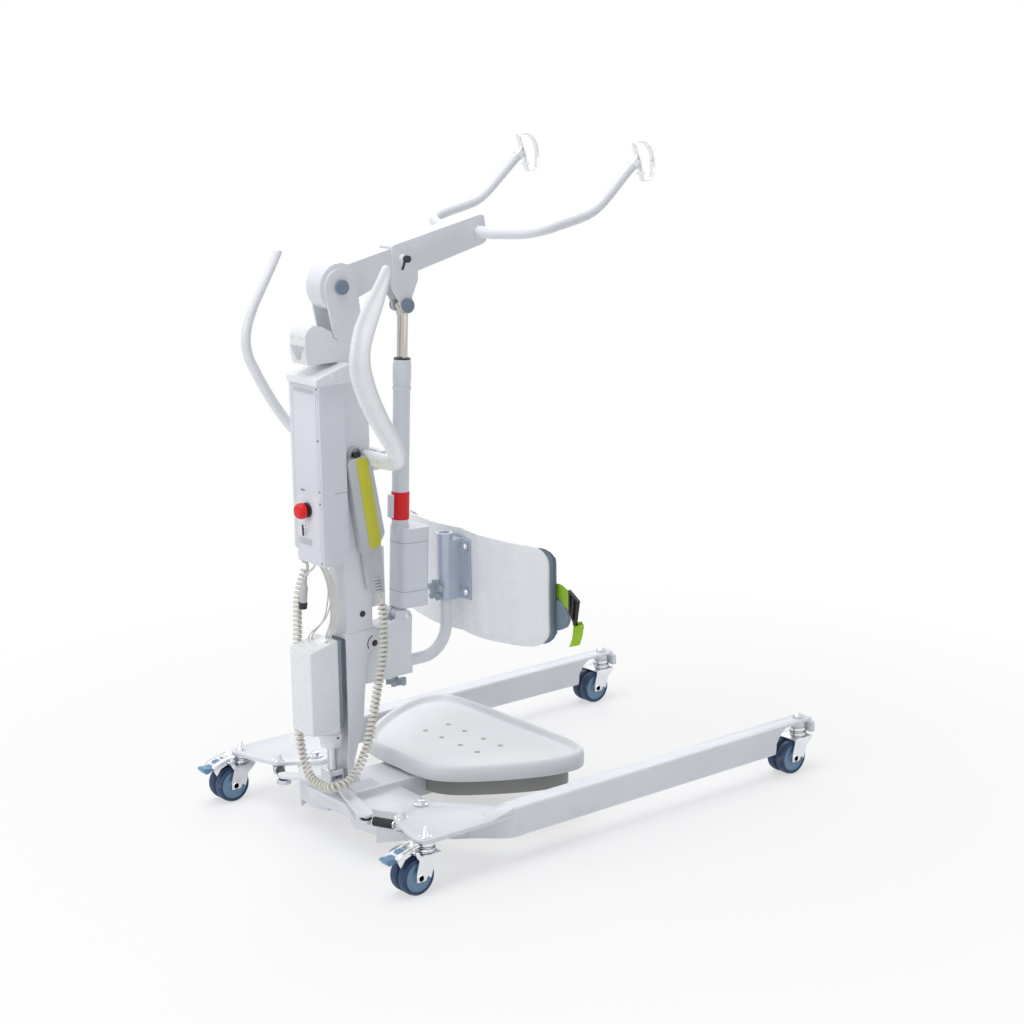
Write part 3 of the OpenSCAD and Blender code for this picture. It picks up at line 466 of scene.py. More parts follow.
def coiled_cord():
    """The handset's curly cord: a helix round its route, straight at both ends."""
    line, total = routed(CORD_ROUTE, 24, 0.0005)
    t_all = frames(line)
    step = total / (len(line) - 1)
    reach = (COIL_OUT - CORD_WIRE) / 2
    ease = 0.02
    turns = (total - 2 * ease) / COIL_PITCH
    per_turn = 18
    n = int(turns * per_turn)
    lead_in = max(2, int(ease / 0.003))
    places = ([(s, 0.0) for s in np.linspace(0, ease, lead_in, endpoint=False)]
              + [(ease + (total - 2 * ease) * k / n, k / per_turn) for k in range(n + 1)]
              + [(s, turns) for s in np.linspace(total - ease, total, lead_in + 1)[1:]])
    points = []
    for s, turn in places:
        i = min(len(line) - 1, max(0, int(round(s / step))))
        fade = min(1.0, s / (ease * 1.3), (total - s) / (ease * 1.3))
        fade = fade * fade * (3 - 2 * fade)
        _, side, up = t_all[i]
        a = TAU * turn
        points.append(line[i] + reach * fade * (math.cos(a) * side + math.sin(a) * up))
    points = np.array(points)
    cord = wire("handset_curly_cord", points, CORD_WIRE / 2, "cream", "base")
    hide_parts("handset_cord")


coiled_cord()


# ---------------------------------------------------------------- shapes for new pieces

def basis(axis):
    """Side and up vectors square to an axis."""
    z = Vector(axis).normalized()
    x = z.cross(Vector((0, 0, 1)) if abs(z.z) < 0.9 else Vector((1, 0, 0))).normalized()
    return x, z.cross(x), z


def lathe(name, profile, centre, axis, key, body, sides=40, soft=0.0):
    """A turned piece: (radius, height) pairs in millimetres around an axis through centre."""
    bm = bmesh.new()
    x, y, z = basis(axis)
    rings = []
    for r, h in profile:
        ring = []
        for k in range(sides):
            a = TAU * (k + 0.5) / sides
            ring.append(bm.verts.new(centre + MM * (h * z + r * (math.cos(a) * x + math.sin(a) * y))))
        rings.append(ring)
    join_rings(bm, rings)
    return piece(name, bm, key, body, soft)


def join_rings(bm, rings, closed=False):
    count = len(rings[0])
    spans = list(zip(rings, rings[1:])) + ([(rings[-1], rings[0])] if closed else [])
    for a, b in spans:
        for k in range(count):
            bm.faces.new((a[k], a[(k + 1) % count], b[(k + 1) % count], b[k]))
    if not closed:
        bm.faces.new(reversed(rings[0]))
        bm.faces.new(rings[-1])


def slab(name, outline, thick, key, body, soft=0.6, segments=2):
    """A plate: an outline of points in space, thickened by a vector."""
    bm = bmesh.new()
    low = [bm.verts.new(q) for q in outline]
    high = [bm.verts.new(q + thick) for q in outline]
    join_rings(bm, [low, high])
    return piece(name, bm, key, body, soft, segments)


def corner_arcs(centres, radius, count):
    """Points round four corners, a quarter turn at each."""
    out = []
    for (a, b), start in zip(centres, (0, 90, 180, 270)):
        for k in range(count):
            turn = math.radians(start + 90 / (count - 1) * k)
            out.append((a + radius * math.cos(turn), b + radius * math.sin(turn)))
    return out


def box_corners(a0, a1, b0, b1):
    return (a1, b1), (a0, b1), (a0, b0), (a1, b0)


def rear_plate(name, y0, y1, z0, z1, x, thick, key, soft=0.8, corner=3):
    """A plate on a face that looks to the rear of the machine, with rounded corners."""
    centres = box_corners(y0 + corner, y1 - corner, z0 + corner, z1 - corner)
    outline = [at(x, y, z) for y, z in corner_arcs(centres, corner, 4)]
    return slab(name, outline, Vector((-thick * MM, 0, 0)), key, "base", soft)


def swept(name, line, section, key, body, soft=0.0, closed=False, up=None):
    """A section, pairs along side and up in metres, carried along a line."""
    bm = bmesh.new()
    rings = []
    for (t, side, over), q in zip(frames(line), line):
        if up is not None:
            over = np.array(up, float)
            side = np.cross(t, over)
            side /= np.linalg.norm(side)
        rings.append([bm.verts.new(q + a * side + b * over) for a, b in section])
    join_rings(bm, rings, closed)
    return piece(name, bm, key, body, soft)


def oval(a, b, power=2.0, count=16):
    """A rounded section; a higher power is squarer."""
    out = []
    for k in range(count):
        c, d = math.cos(TAU * k / count), math.sin(TAU * k / count)
        out.append((a * math.copysign(abs(c) ** (2 / power), c) * MM,
                    b * math.copysign(abs(d) ** (2 / power), d) * MM))
    return out


# ---------------------------------------------------------------- control box and handset

def control_box_details():
    rear_plate("battery_panel", -38, 41, 741, 944, 12.2, 1.6, "box", 0.9)
    rear_plate("battery_handle", -32, 36, 935, 942, 10.8, 1.2, "label", 0.4)
    rear_plate("switch_panel", -38, 41, 604, 727, 12.2, 1.2, "box", 0.8)
    rear_plate("lower_label", -10, 36, 626, 639, 11.2, 0.5, "label", 0.2, 1.5)
    # The slot is a dark strip: painted shade inside it.
    rear_plate("panel_slot", 12, 25, 735.5, 738.5, 12.3, 0.9, "shadow", 0.2, 1)
    for k, z in enumerate((946, 844, 741, 717, 596)):
        lathe(f"box_screw_{k}", [(2.1, -1), (2.1, 0.5), (1.6, 1.0), (0.7, 1.0), (0.5, 0.3)],
              at(12, -41, z), (-1, 0, 0), "shadow", "base", 16)
    lathe("key_barrel", [(7.5, -1), (7.5, 1.4), (6.8, 2.2), (4.6, 2.2), (4.4, 5.5), (3.8, 6)],
          at(11.4, 13, 662), (-1, 0, 0), "zinc", "base", 28)
    lever = [at(6.5, 15.5, 668), at(6.5, 11, 668), at(6.5, 10.5, 645), at(6.5, 14.5, 645)]
    slab("key_lever", lever, Vector((-3 * MM, 0, 0)), "black", "base", 1.2)
    seam = [at(44, -47, 734.4), at(73, -47, 734.4), at(73, -47, 733.6), at(44, -47, 733.6)]
    slab("box_side_seam", seam, Vector((0, -0.25 * MM, 0)), "shadow", "base", 0)
    for k, x in enumerate((40, 58)):
        clip = [at(x, -52.8, 957), at(x + 8, -52.8, 957), at(x + 8, -52.8, 974), at(x, -52.8, 974)]
        slab(f"cap_clip_{k}", clip, Vector((0, -2.2 * MM, 0)), "white", "base", 0.9)
    rail = [at(12 + 0.2 * (y - 47) ** 2 / 10, y, 612) for y in (46, 52, 57, 61, 64)]
    rail += [at(40, 64, 612), at(40, 46, 612)]
    slab("box_side_rail", rail, Vector((0, 0, 347 * MM)), "box", "base", 2.5, 3)
    lathe("box_gland", [(9, 0.5), (9, -5), (7, -8), (4.6, -9)], at(24, 36, 591), (0, 0, 1),
          "handset", "base", 24, 0.5)


def handset_details():
    face = -52.0
    strip = [at(93, face, 797), at(118, face, 799.5), at(121, face, 790), at(148, face, 622),
             at(146, face, 615), at(127, face, 609), at(120, face, 614)]
    slab("handset_strip", strip, Vector((0, -0.9 * MM, 0)), "yellow", "base", 0.7)
    for k in range(5):
        z = 545 - 6.5 * k
        x = 139 + 1.1 * k
        lathe(f"handset_boot_{k}", [(9.5, -2), (11.3, -1.4), (11.3, 1.4), (9.5, 2)],
              at(x, -40, z), (0.08, 0, -1), "handset", "base", 28)
    lathe("handset_peg", [(5.5, 0), (5.5, 9), (8, 9.6), (8.6, 11), (8, 12.4), (4, 13)],
          at(104, -29, 802), (0, -1, 0), "black", "base", 28)


# ---------------------------------------------------------------- mast and head

def mast_details():
    for side, word in ((-1, "right"), (1, "left")):
        out = (0, side, 0)
        for k, (x, z) in enumerate(((113, 472), (141, 405))):
            lathe(f"mast_plug_{word}_{k}", [(6.6, -0.5), (6.6, 0.8), (5.4, 1.5), (2.2, 1.7)],
                  at(x, side * 29, z), out, "black", "base", 28)
        # A thin black arc in the gap round the bracket's boss: painted shade.
        bend = [at(141 + 17.5 * math.cos(math.radians(a)), side * 29.2,
                   405 + 17.5 * math.sin(math.radians(a))) for a in range(108, 216, 6)]
        swept(f"bracket_gap_shade_{word}", np.array(bend), oval(1.3, 0.9), "black", "base")
        lathe(f"head_screw_{word}", [(2.9, -3), (2.9, 0.2), (2.2, 0.9), (0.8, 0.9)],
              at(0.8, side * 16, 1044), (-1, 0, 0), "steel", "base", 20)
        lathe(f"bracket_plug_{word}", [(7, -0.5), (7, 1.2), (5.6, 2.2), (1, 2.4)],
              at(165, side * 32, 782), out, "black", "base", 28)
        lathe(f"pivot_cap_face_{word}", [(9.8, 0), (9.8, 1.2), (8.6, 1.9), (2.5, 1.4), (2, 0.6)],
              at(87, side * 35.4, 1137), out, "cap", "base", 36)
    # A pale grey triangle laid flat on the cowl's rear: painted shade for the shaded face of its V
    # chamfer.
    vee = [at(-0.2, 25, 1028), at(-0.2, -25, 1029), at(-0.2, -3, 1000), at(-0.2, 3, 1000)]
    slab("cowl_chamfer_shade", vee, Vector((-0.7 * MM, 0, 0)), "label", "base", 0.5)


def cover():
    """The base motor's cover: a crisp box with a sloping top, a collar and a web to the mast, the web
    painted dark blue-grey as the shade between cover and mast.
    """
    side = [(-22, 241), (-22, 417), (46, 431), (46, 236)]
    shell = slab("motor_cover", [at(x, -37, z) for x, z in side], Vector((0, 74 * MM, 0)),
                 "white", "base", 3.2, 3)
    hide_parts("base_actuator_cover")
    # The web's dark blue-grey is painted shade: the shadowed strip between the cover and the mast.
    web = [(46, 238), (46, 426), (64, 424), (64, 240)]
    slab("motor_cover_web", [at(x, -21, z) for x, z in web], Vector((0, 42 * MM, 0)), "web_shade",
         "base", 1)
    lathe("motor_collar", [(22, 200), (22.5, 202), (22.5, 213), (24.6, 215), (25, 216.5),
                           (25, 227), (24, 228.5), (22, 229), (22, 241)], at(ACTUATOR_X, 0, 0),
          (0, 0, 1), "white", "base", 48, 0.4)
    # A black disc for the collar's hole: painted shade inside it.
    lathe("motor_collar_hole_shade", [(2.6, -0.6), (2.6, 0.3), (1.6, 0.4)], at(ACTUATOR_X, -24.9, 222),
          (0, -1, 0), "black", "base", 16)
    lathe("cover_top_screw", [(3.4, -1), (3.4, 0.3), (2.6, 0.5), (1.2, -0.2)], at(28, -22, 427.4),
          (-0.2, 0, 1), "shadow", "base", 20)


def handle_section(wide, thin):
    """A round tube along one edge and a thinner web beside it."""
    out = []
    for k in range(28):
        t = math.cos(TAU * k / 28)
        up = 1 if k <= 14 else -1
        s = wide * t
        web = 0.62 * thin * max(0, 1 - abs(t) ** 5) ** 0.5
        inside = thin ** 2 - (s + wide - thin) ** 2
        out.append((s * MM, up * max(web, math.sqrt(max(0, inside))) * MM))
    return out


def push_handle(word, side):
    """A grip that sweeps down and forward, then turns in to the mast."""
    path = [(86, 187, 1193), (69, 190, 1158), (46, 192, 1118), (25, 194, 1080), (11.5, 197, 1044),
            (8, 199, 1012), (14, 199, 981), (27, 196, 950), (42, 194, 920), (60, 193, 889),
            (78, 192, 861), (92, 188, 838), (102, 178, 819), (110, 159, 807), (117, 130, 800),
            (124, 95, 796), (129, 60, 794), (131, 30, 794)]
    wide = [8.5, 14, 19, 21, 20, 21.5, 22.5, 22.5, 22, 21, 20, 19, 18, 17, 17, 17, 17, 17]
    thin = [8.4, 8.6, 9, 9.4, 10, 10.4, 10.6, 10.8, 11, 11, 11, 11, 10.5, 10, 9.5, 9.5, 9.5, 9.5]
    line = catmull([at(x, side * y, z) for x, y, z in path], 5)
    stations = np.linspace(0, len(path) - 1, len(line))
    bm = bmesh.new()
    rings = []
    for k, (q, f) in enumerate(zip(line, stations)):
        t = line[min(k + 1, len(line) - 1)] - line[max(k - 1, 0)]
        t /= np.linalg.norm(t)
        turn = min(1, max(0, (f - 10) / 4))
        broad = np.array((0.624 * (1 - turn) + 0.25 * turn, side * 0.782 * (1 - turn),
                          -0.95 * turn))
        broad -= t * np.dot(t, broad)
        broad /= np.linalg.norm(broad)
        flat = np.cross(t, broad)
        a = np.interp(f, range(len(wide)), wide)
        b = np.interp(f, range(len(thin)), thin)
        rings.append([bm.verts.new(q + i * broad + j * flat) for i, j in handle_section(a, b)])
    join_rings(bm, rings)
    grip = piece(f"push_grip_{word}", bm, "white", "base")
    fine = grip.modifiers.new("fine", "SUBSURF")
    fine.levels = fine.render_levels = 1
    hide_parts("push_handle_" + word)


# ---------------------------------------------------------------- base and casters

def foot_outline():
    half = [(205, 0), (204, -50), (212, -108), (242, -152), (291, -190), (345, -222), (400, -247),
            (440, -259), (480, -262), (510, -250), (526, -222), (533, -180), (537, -90), (538, 0)]
    points = half + [(x, -y) for x, y in half[-2:0:-1]]
    loop = points[-3:] + points + points[:4]
    line = catmull([(x, y, 0) for x, y in loop], 6)
    return line[18:18 + 6 * len(points)]


def footplate():
    """The moulded tread: a rolled rim around a shallow dish, standing on a flared skirt."""
    edge = foot_outline()
    centre = np.array((380.0, 0, 0))
    away = edge - centre
    reach = np.linalg.norm(away, axis=1)[:, None]
    profile = [(7, 113), (2, 114.5), (0.6, 119), (0.3, 132), (0.6, 141), (2.2, 146.4), (5, 149.2),
               (8.5, 150), (12, 149.2), (15, 146.6), (17.6, 142.6), (20.5, 139.6), (25, 138.2),
               (60, 138), (120, 138)]
    bm = bmesh.new()
    rings = []
    for inset, z in profile:
        ring = centre + away * (1 - inset / reach)
        rings.append([bm.verts.new(at(x, y, z)) for x, y, _ in ring])
    join_rings(bm, rings)
    tread = piece("footplate_tread", bm, "foot", "base")
    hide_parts("footplate")
    k = 0
    for side in (-1, 1):
        for x, y in ((351, 91), (413, 91), (413, 33), (351, 33)):
            # The tread bolts are dark grey rather than steel: painted shade.
            lathe(f"tread_bolt_{k}", [(5.2, -0.6), (5.2, 0.3), (4.4, 0.6), (3.0, 0.4), (2.6, -0.4)],
                  at(x, side * y, 138), (0, 0, 1), "shadow", "base", 24)
            k += 1


def caster_details(corner, x, y):
    swivel, wheel = "swivel_" + corner, "wheel_" + corner
    for side in (-1, 1):
        word = "r" if side < 0 else "l"
        out = (0, side, 0)
        lathe(f"wheel_face_{corner}_{word}",
              [(29.2, 0), (29.2, 0.7), (28, 1.4), (26.2, 1.2), (25, 0.2), (13, 0), (12.4, 2.2),
               (11, 3.6), (7.4, 3.8), (7.2, 1)], at(x - TRAIL, y + side * 21.4, AXLE_Z), out, "hub",
              wheel, 48)
        lathe(f"axle_head_{corner}_{word}", [(8, -1), (8, 0.9), (7.2, 1.5), (3, 1.5)],
              at(x - TRAIL, y + side * 29.5, AXLE_Z), out, "zinc", swivel, 6, 0.5)
    # A thin black ring in the gap of the swivel race.
    lathe(f"race_black_ring_{corner}", [(17.2, -1), (18.4, -0.6), (18.4, 0.6), (17.2, 1)],
          at(x, y, 89.2), (0, 0, 1), "black", swivel, 48)
    lathe(f"race_lip_{corner}", [(18.2, 0), (20.4, 0.3), (20.6, 1.2), (18.2, 1.8)],
          at(x, y, 81.6), (0, 0, 1), "zinc", swivel, 48)


def brake_details(word, y, body):
    line = [(6, 99.4), (-3, 98.9), (-12, 97.2), (-22, 94.4), (-32, 91.4), (-42, 88), (-46.5, 84),
            (-48, 80)]
    ribs = ((-20.5, -2), (-20.5, 0.6), (-14, 0.6), (-13, 1.8), (-9, 1.8), (-8, 0.6), (8, 0.6),
            (9, 1.8), (13, 1.8), (14, 0.6), (20.5, 0.6), (20.5, -2), (19.6, -2), (19.6, -0.8),
            (-19.6, -0.8), (-19.6, -2))
    bm = bmesh.new()
    rings = [[bm.verts.new(at(x, y + d, z + h)) for d, h in ribs] for x, z in line]
    join_rings(bm, rings)
    piece(f"brake_plate_{word}", bm, "zinc", body, 0.3)
    for k in range(3):
        # Dark slabs in the brake plate's slots: painted shade inside them.
        x, z = -14 - 9 * k, 97.4 - 2.9 * k
        slot = [at(x, y - 6, z), at(x - 4, y - 6, z - 1.2), at(x - 4, y + 6, z - 1.2),
                at(x, y + 6, z)]
        slab(f"brake_slot_{word}_{k}", slot, Vector((0, 0, -0.8 * MM)), "shadow", body, 0.2)
    outline = ((-6, 97.6), (-22, 93.8), (-44, 86.4), (-47, 78), (-41, 66), (-37, 70), (-30, 80),
               (-14, 86), (-6, 88))
    for side in (-1, 1):
        lip = [at(x, y + side * 20.4, z) for x, z in outline]
        slab(f"brake_lip_{word}_{'r' if side < 0 else 'l'}", lip,
             Vector((0, -side * 1.2 * MM, 0)), "zinc", body, 0.4)


def leg_fairing(word, side):
    """The tube's rear end runs smoothly into the plate under the wing."""
    outer = ((262, 354.9), (242, 354.9), (228, 351), (208, 336), (182, 312), (166, 299))
    inner = ((166, 295), (208, 330), (262, 350))
    skin = [at(x, side * y, 56) for x, y in outer + inner]
    slab(f"leg_fairing_{word}", skin, Vector((0, 0, 40.6 * MM)), "leg", "leg_" + word, 1.2)
    ramp = [at(241, side * 312, 105), at(241, side * 312, 116.6), at(186, side * 312, 105.2)]
    slab(f"leg_ramp_{word}", ramp, Vector((0, side * 40 * MM, 0)), "leg", "leg_" + word, 1.0)


def base_details():
    for side, word in ((-1, "r"), (1, "l")):
        lathe(f"leg_cap_{word}", [(11.6, 0), (11.6, 1.6), (10, 4.2), (6, 6.4), (2, 7.2)],
              at(FRONT_CASTER[0], side * FRONT_CASTER[1], 119.8), (0, 0, 1), "steel", "leg_" + word, 32)
        a = math.atan2(TIE_AIM[1], TIE_AIM[0]) * side
        rod = Vector((math.cos(a), math.sin(a), 0))
        start = at(TIE_BALL[0], side * TIE_BALL[1], 88)
        for k, s in enumerate((15.5, 61.5)):
            lathe(f"tie_nut_{word}_{k}", [(8.2, -1.5), (8.8, -1), (8.8, 2.4), (8.2, 3)],
                  start + rod * s * MM, rod, "zinc", "tie_" + word, 6, 0.3)
        lathe(f"tie_boot_{word}", [(10.6, -0.6), (12.6, 0.2), (12.4, 2.6), (10.6, 3.4)], start,
              (0, 0, 1), "rubber", "tie_" + word, 32)
        lathe(f"pin_washer_{word}", [(13.4, 0), (13.8, 0.6), (13.4, 1.6)],
              at(TIE_PIN[0], side * TIE_PIN[1], 105), (0, 0, 1), "zinc", "leg_" + word, 32)
        lathe(f"stem_washer_{word}", [(12.6, 0), (13, 0.6), (12.6, 1.4)],
              at(REAR_CASTER[0], side * REAR_CASTER[1], 105.1), (0, 0, 1), "zinc", "leg_" + word, 32)


# ---------------------------------------------------------------- actuator and leg support

def actuator_point(side, over, along):
    """A point in the lift actuator's own lines, from its lower pin."""
    tilt = math.atan2(ROD_PIN[0] - FOOT_PIN[0], ROD_PIN[1] - FOOT_PIN[1])
    return at(FOOT_PIN[0] + over * math.cos(tilt) + along * math.sin(tilt), side,
              FOOT_PIN[1] + along * math.cos(tilt) - over * math.sin(tilt))


def actuator_details():
    axis = actuator_point(0, 0, 1000) - actuator_point(0, 0, 0)
    corners = corner_arcs(box_corners(6, 46, -13, 13), 16.25, 7)
    for k, along in enumerate((50, 152)):
        ring = [actuator_point(y, x, along) for x, y in corners]
        slab(f"housing_seam_{k}", ring, axis.normalized() * 0.7 * MM, "shadow", "actuator", 0)
    grip = lathe("release_collar", [(16.6, 0), (18.2, 0.4), (18.8, 2), (18.8, 56), (18.2, 57.6),
                                    (16.6, 58)], actuator_point(0, 2, 199), axis, "red", "grip", 48)
    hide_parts("release_grip")
    guide = [actuator_point(y, x, 204) for x, y in ((-17.2, 8), (-25, 8), (-25, -6), (-17.2, -6))]
    slab("collar_guide", guide, axis.normalized() * 48 * MM, "box", "actuator", 1.4)
    lathe("tube_wiper", [(17.4, -1), (17.4, 2.4), (15.5, 4.2), (11.4, 4.6)],
          actuator_point(0, 2, 527.5), axis, "black", "actuator", 40)
    lathe("tube_collar", [(17.6, -3), (19.6, -2.4), (19.6, 2.4), (17.6, 3)],
          actuator_point(0, 2, 470), axis, "box", "actuator", 40)
    for side, word in ((-1, "r"), (1, "l")):
        lathe(f"foot_pin_head_{word}", [(6.8, 0), (6.8, 1.4), (5.4, 2.2), (1.4, 2.3)],
              at(FOOT_PIN[0], side * 31, FOOT_PIN[1]), (0, side, 0), "steel", "base", 28)
        for k, z in enumerate((470, 568)):
            lathe(f"rail_bolt_{word}_{k}", [(8.6, 0), (8.6, 1.4), (6.4, 1.5), (6.2, 4), (4.4, 5.6),
                                            (1.4, 6)], at(373.4, side * 33, z), (-1, 0, 0),
                  "zinc", "leg_rest", 28)


def shell_back(y):
    reach = max(0, abs(y) - 150) / 100
    return 388 - 9 * math.sin(math.radians(min(abs(y), 150) * 1.2)) + reach ** 1.6 * 39


def upright(y, half, low, high, corner):
    """The lowest and highest points of a rounded outline at a distance from its middle."""
    past = min(corner, max(0, abs(y) - (half - corner)))
    cut = corner - math.sqrt(corner ** 2 - past ** 2)
    rise = (y / half) ** 2
    return low + 9 * rise + cut, high - 4 * rise - cut


def curved_panel(half, low, high, corner, back, front):
    """A closed panel that follows the shell's curve, between two depths."""
    bm = bmesh.new()
    across = [half * math.sin(math.radians(a)) for a in np.linspace(-89.9, 89.9, 61)]
    rings = []
    for y in across:
        z0, z1 = upright(y, half, low, high, corner)
        up = [z0 + (z1 - z0) * k / 10 for k in range(11)]
        ring = [bm.verts.new(at(shell_back(y) + back(y), y, z)) for z in up]
        ring += [bm.verts.new(at(shell_back(y) + front(y), y, z)) for z in reversed(up)]
        rings.append(ring)
    join_rings(bm, rings)
    return bm


def leg_shell():
    """The moulded shell behind the knee pad."""
    bm = curved_panel(SHELL_HALF, 378, 600, 36, lambda y: 0, lambda y: 5)
    shell = piece("shin_shell", bm, "white", "leg_rest", 1.6, 3)
    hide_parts("leg_shell")


def evaluated(obj):
    """The object's mesh with its modifiers applied."""
    graph = bpy.context.evaluated_depsgraph_get()
    return bpy.data.meshes.new_from_object(obj.evaluated_get(graph))


def pad_start():
    """The cushion before it is inflated, a little smaller, as an even fine mesh."""
    bm = curved_panel(PAD_HALF - 4, 383, 597, 26, lambda y: 5.4,
                      lambda y: 27 - 3 * abs(y / PAD_HALF) ** 3)
    mesh = bpy.data.meshes.new("knee_cushion")
    bmesh.ops.recalc_face_normals(bm, faces=bm.faces)
    bm.to_mesh(mesh)
    bm.free()
    obj = put("knee_cushion", mesh)
    fine = obj.modifiers.new("even", "REMESH")
    fine.mode = "VOXEL"
    fine.voxel_size = 0.005
    obj.data = evaluated(obj)
    obj.modifiers.clear()
    return obj


def inflate(obj, cap):
    """Cloth simulation under pressure, its back held flat on the shell."""
    rest = np.array([v.co[:] for v in obj.data.vertices])
    back = obj.vertex_groups.new(name="back")
    for i, (x, y, _) in enumerate(rest):
        depth = (x - SHIFT) / MM - shell_back(y / MM)
        back.add([i], 1.0 if depth < 8 else 0.0, "REPLACE")
    cloth = obj.modifiers.new("cloth", "CLOTH")
    cloth.settings.use_pressure = True
    cloth.settings.uniform_pressure_force = 4
    cloth.settings.tension_stiffness = 12
    cloth.settings.compression_stiffness = 12
    cloth.settings.effector_weights.gravity = 0
    cloth.settings.vertex_group_mass = "back"
    scene = bpy.context.scene
    for f in range(1, 21):
        scene.frame_set(f)
    swollen = evaluated(obj)
    moved = np.array([v.co[:] for v in swollen.vertices]) - rest
    far = np.linalg.norm(moved, axis=1)
    keep = np.minimum(1.0, cap / np.maximum(far, 1e-9))
    final = rest + moved * keep[:, None]
    obj.modifiers.clear()
    scene.frame_set(1)
    obj.data.vertices.foreach_set("co", final.ravel())
    obj.data.update()


def knee_cushion():
    obj = pad_start()
    inflate(obj, PAD_SWELL * MM)
    calm = obj.modifiers.new("calm", "SMOOTH")
    calm.iterations = 3
    fine = obj.modifiers.new("fine", "SUBSURF")
    fine.levels = fine.render_levels = 1
    obj.data = evaluated(obj)
    obj.modifiers.clear()
    obj.data.materials.clear()
    obj.data.materials.append(M["pad"])
    obj.data.shade_smooth()
    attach(obj, "leg_rest")
    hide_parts("knee_pad")
    return obj


def pad_seam(cushion, name, inset, depth):
    """A line of piping laid on the cushion's skin, all round it."""
    tree = BVHTree.FromPolygons([v.co for v in cushion.data.vertices],
                                [f.vertices[:] for f in cushion.data.polygons])
    line = []
    hw, low, high, corner = PAD_HALF - inset, 385 + inset, 595 - inset, 28
    centres = box_corners(-hw + corner, hw - corner, low + corner, high - corner)
    walk = corner_arcs(centres, corner, 7)
    walk.append(walk[0])
    for (y0, z0), (y1, z1) in zip(walk, walk[1:]):
        steps = max(1, int(math.hypot(y1 - y0, z1 - z0) / 8))
        for k in range(steps):
            y, z = y0 + (y1 - y0) * k / steps, z0 + (z1 - z0) * k / steps
            found = tree.find_nearest(at(shell_back(y) + depth, y, z))
            line.append(tuple(found[0] + found[1] * 0.6 * MM))
    line.append(line[0])
    seam = wire(name, line, 1.7 * MM, "piping", "leg_rest")


def ribbon(name, line, width, thick, across, key, body):
    """Flat webbing with rounded selvedges."""
    section = oval(thick / 2, width / 2, 5, 20)
    return swept(name, line, section, key, body, up=across)


def strap():
    """The calf strap: the band from the pad to the buckle, its tail and the fold between."""
    end = STRAP_END
    route = [(447, end + 9, 498), (449, end - 1, 498), (445, end - 14, 498), (438, end - 32, 497),
             (431, end - 50, 496)]
    line = routed(route, 12, 0.003)[0]
    top = ribbon("calf_strap_band", line, 40, 2.4, (0, 0, 1), "strap", "leg_rest")
    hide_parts("calf_strap")
    fold = [(431.4, end - 78, 451), (429, end - 79, 444), (427.6, end - 80, 436),
            (424, end - 80, 424), (419, end - 79, 411)]
    line = routed(fold, 12, 0.003)[0]
    tail = ribbon("calf_strap_tail", line, 36, 2.2, (-0.06, -0.93, 0.34), "strap", "leg_rest")
    loop = [(433.6, end - 70, 455), (436.4, end - 71, 449), (434.6, end - 76, 441),
            (431, end - 78, 446)]
    line = routed(loop, 12, 0.003)[0]
    fold_back = ribbon("calf_strap_fold", line, 34, 2.2, (-0.06, -0.93, 0.34), "strap", "leg_rest")


def calf_flap():
    """The padded flap at the strap's root."""
    edge = [(440, -243, 486), (441, -262, 484), (439, -278, 470), (436, -291, 452),
            (434, -285, 437), (436, -266, 427), (440, -243, 419)]
    flap = slab("calf_flap", [at(*q) for q in edge], Vector((9 * MM, 0, 0)), "pad", "leg_rest",
                3.6, 4)


def buckle():
    """A ladder-lock buckle: two side rails, three bars and a black web behind."""
    end = STRAP_END
    top, low = Vector(at(431, end - 50, 518)), Vector(at(431, end - 50, 476))
    out_top, out_low = Vector(at(431, end - 80, 500)), Vector(at(431, end - 70, 449))
    rails = ((top, out_top), (low, out_low))
    for k, (a, b) in enumerate(rails):
        line = np.array([a.lerp(b, t / 8) for t in range(9)])
        rail = swept(f"buckle_rail_{k}", line, oval(3.4, 2.6, 3.5), "black", "leg_rest")
        if k == 0:
            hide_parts("strap_buckle")
    for k, t in enumerate((0.06, 0.5, 0.96)):
        a, b = top.lerp(out_top, t), low.lerp(out_low, t)
        line = np.array([a.lerp(b, i / 8) for i in range(9)])
        swept(f"buckle_bar_{k}", line, oval(3.0, 2.6 if k != 1 else 4.2, 3), "black", "leg_rest")
    web = [top.lerp(out_top, 0.1), top.lerp(out_top, 0.9), low.lerp(out_low, 0.9),
           low.lerp(out_low, 0.1)]
    slab("buckle_web", [q + Vector((1.5 * MM, 0, 0)) for q in web], Vector((2.2 * MM, 0, 0)),
         "rubber", "leg_rest", 0.6)


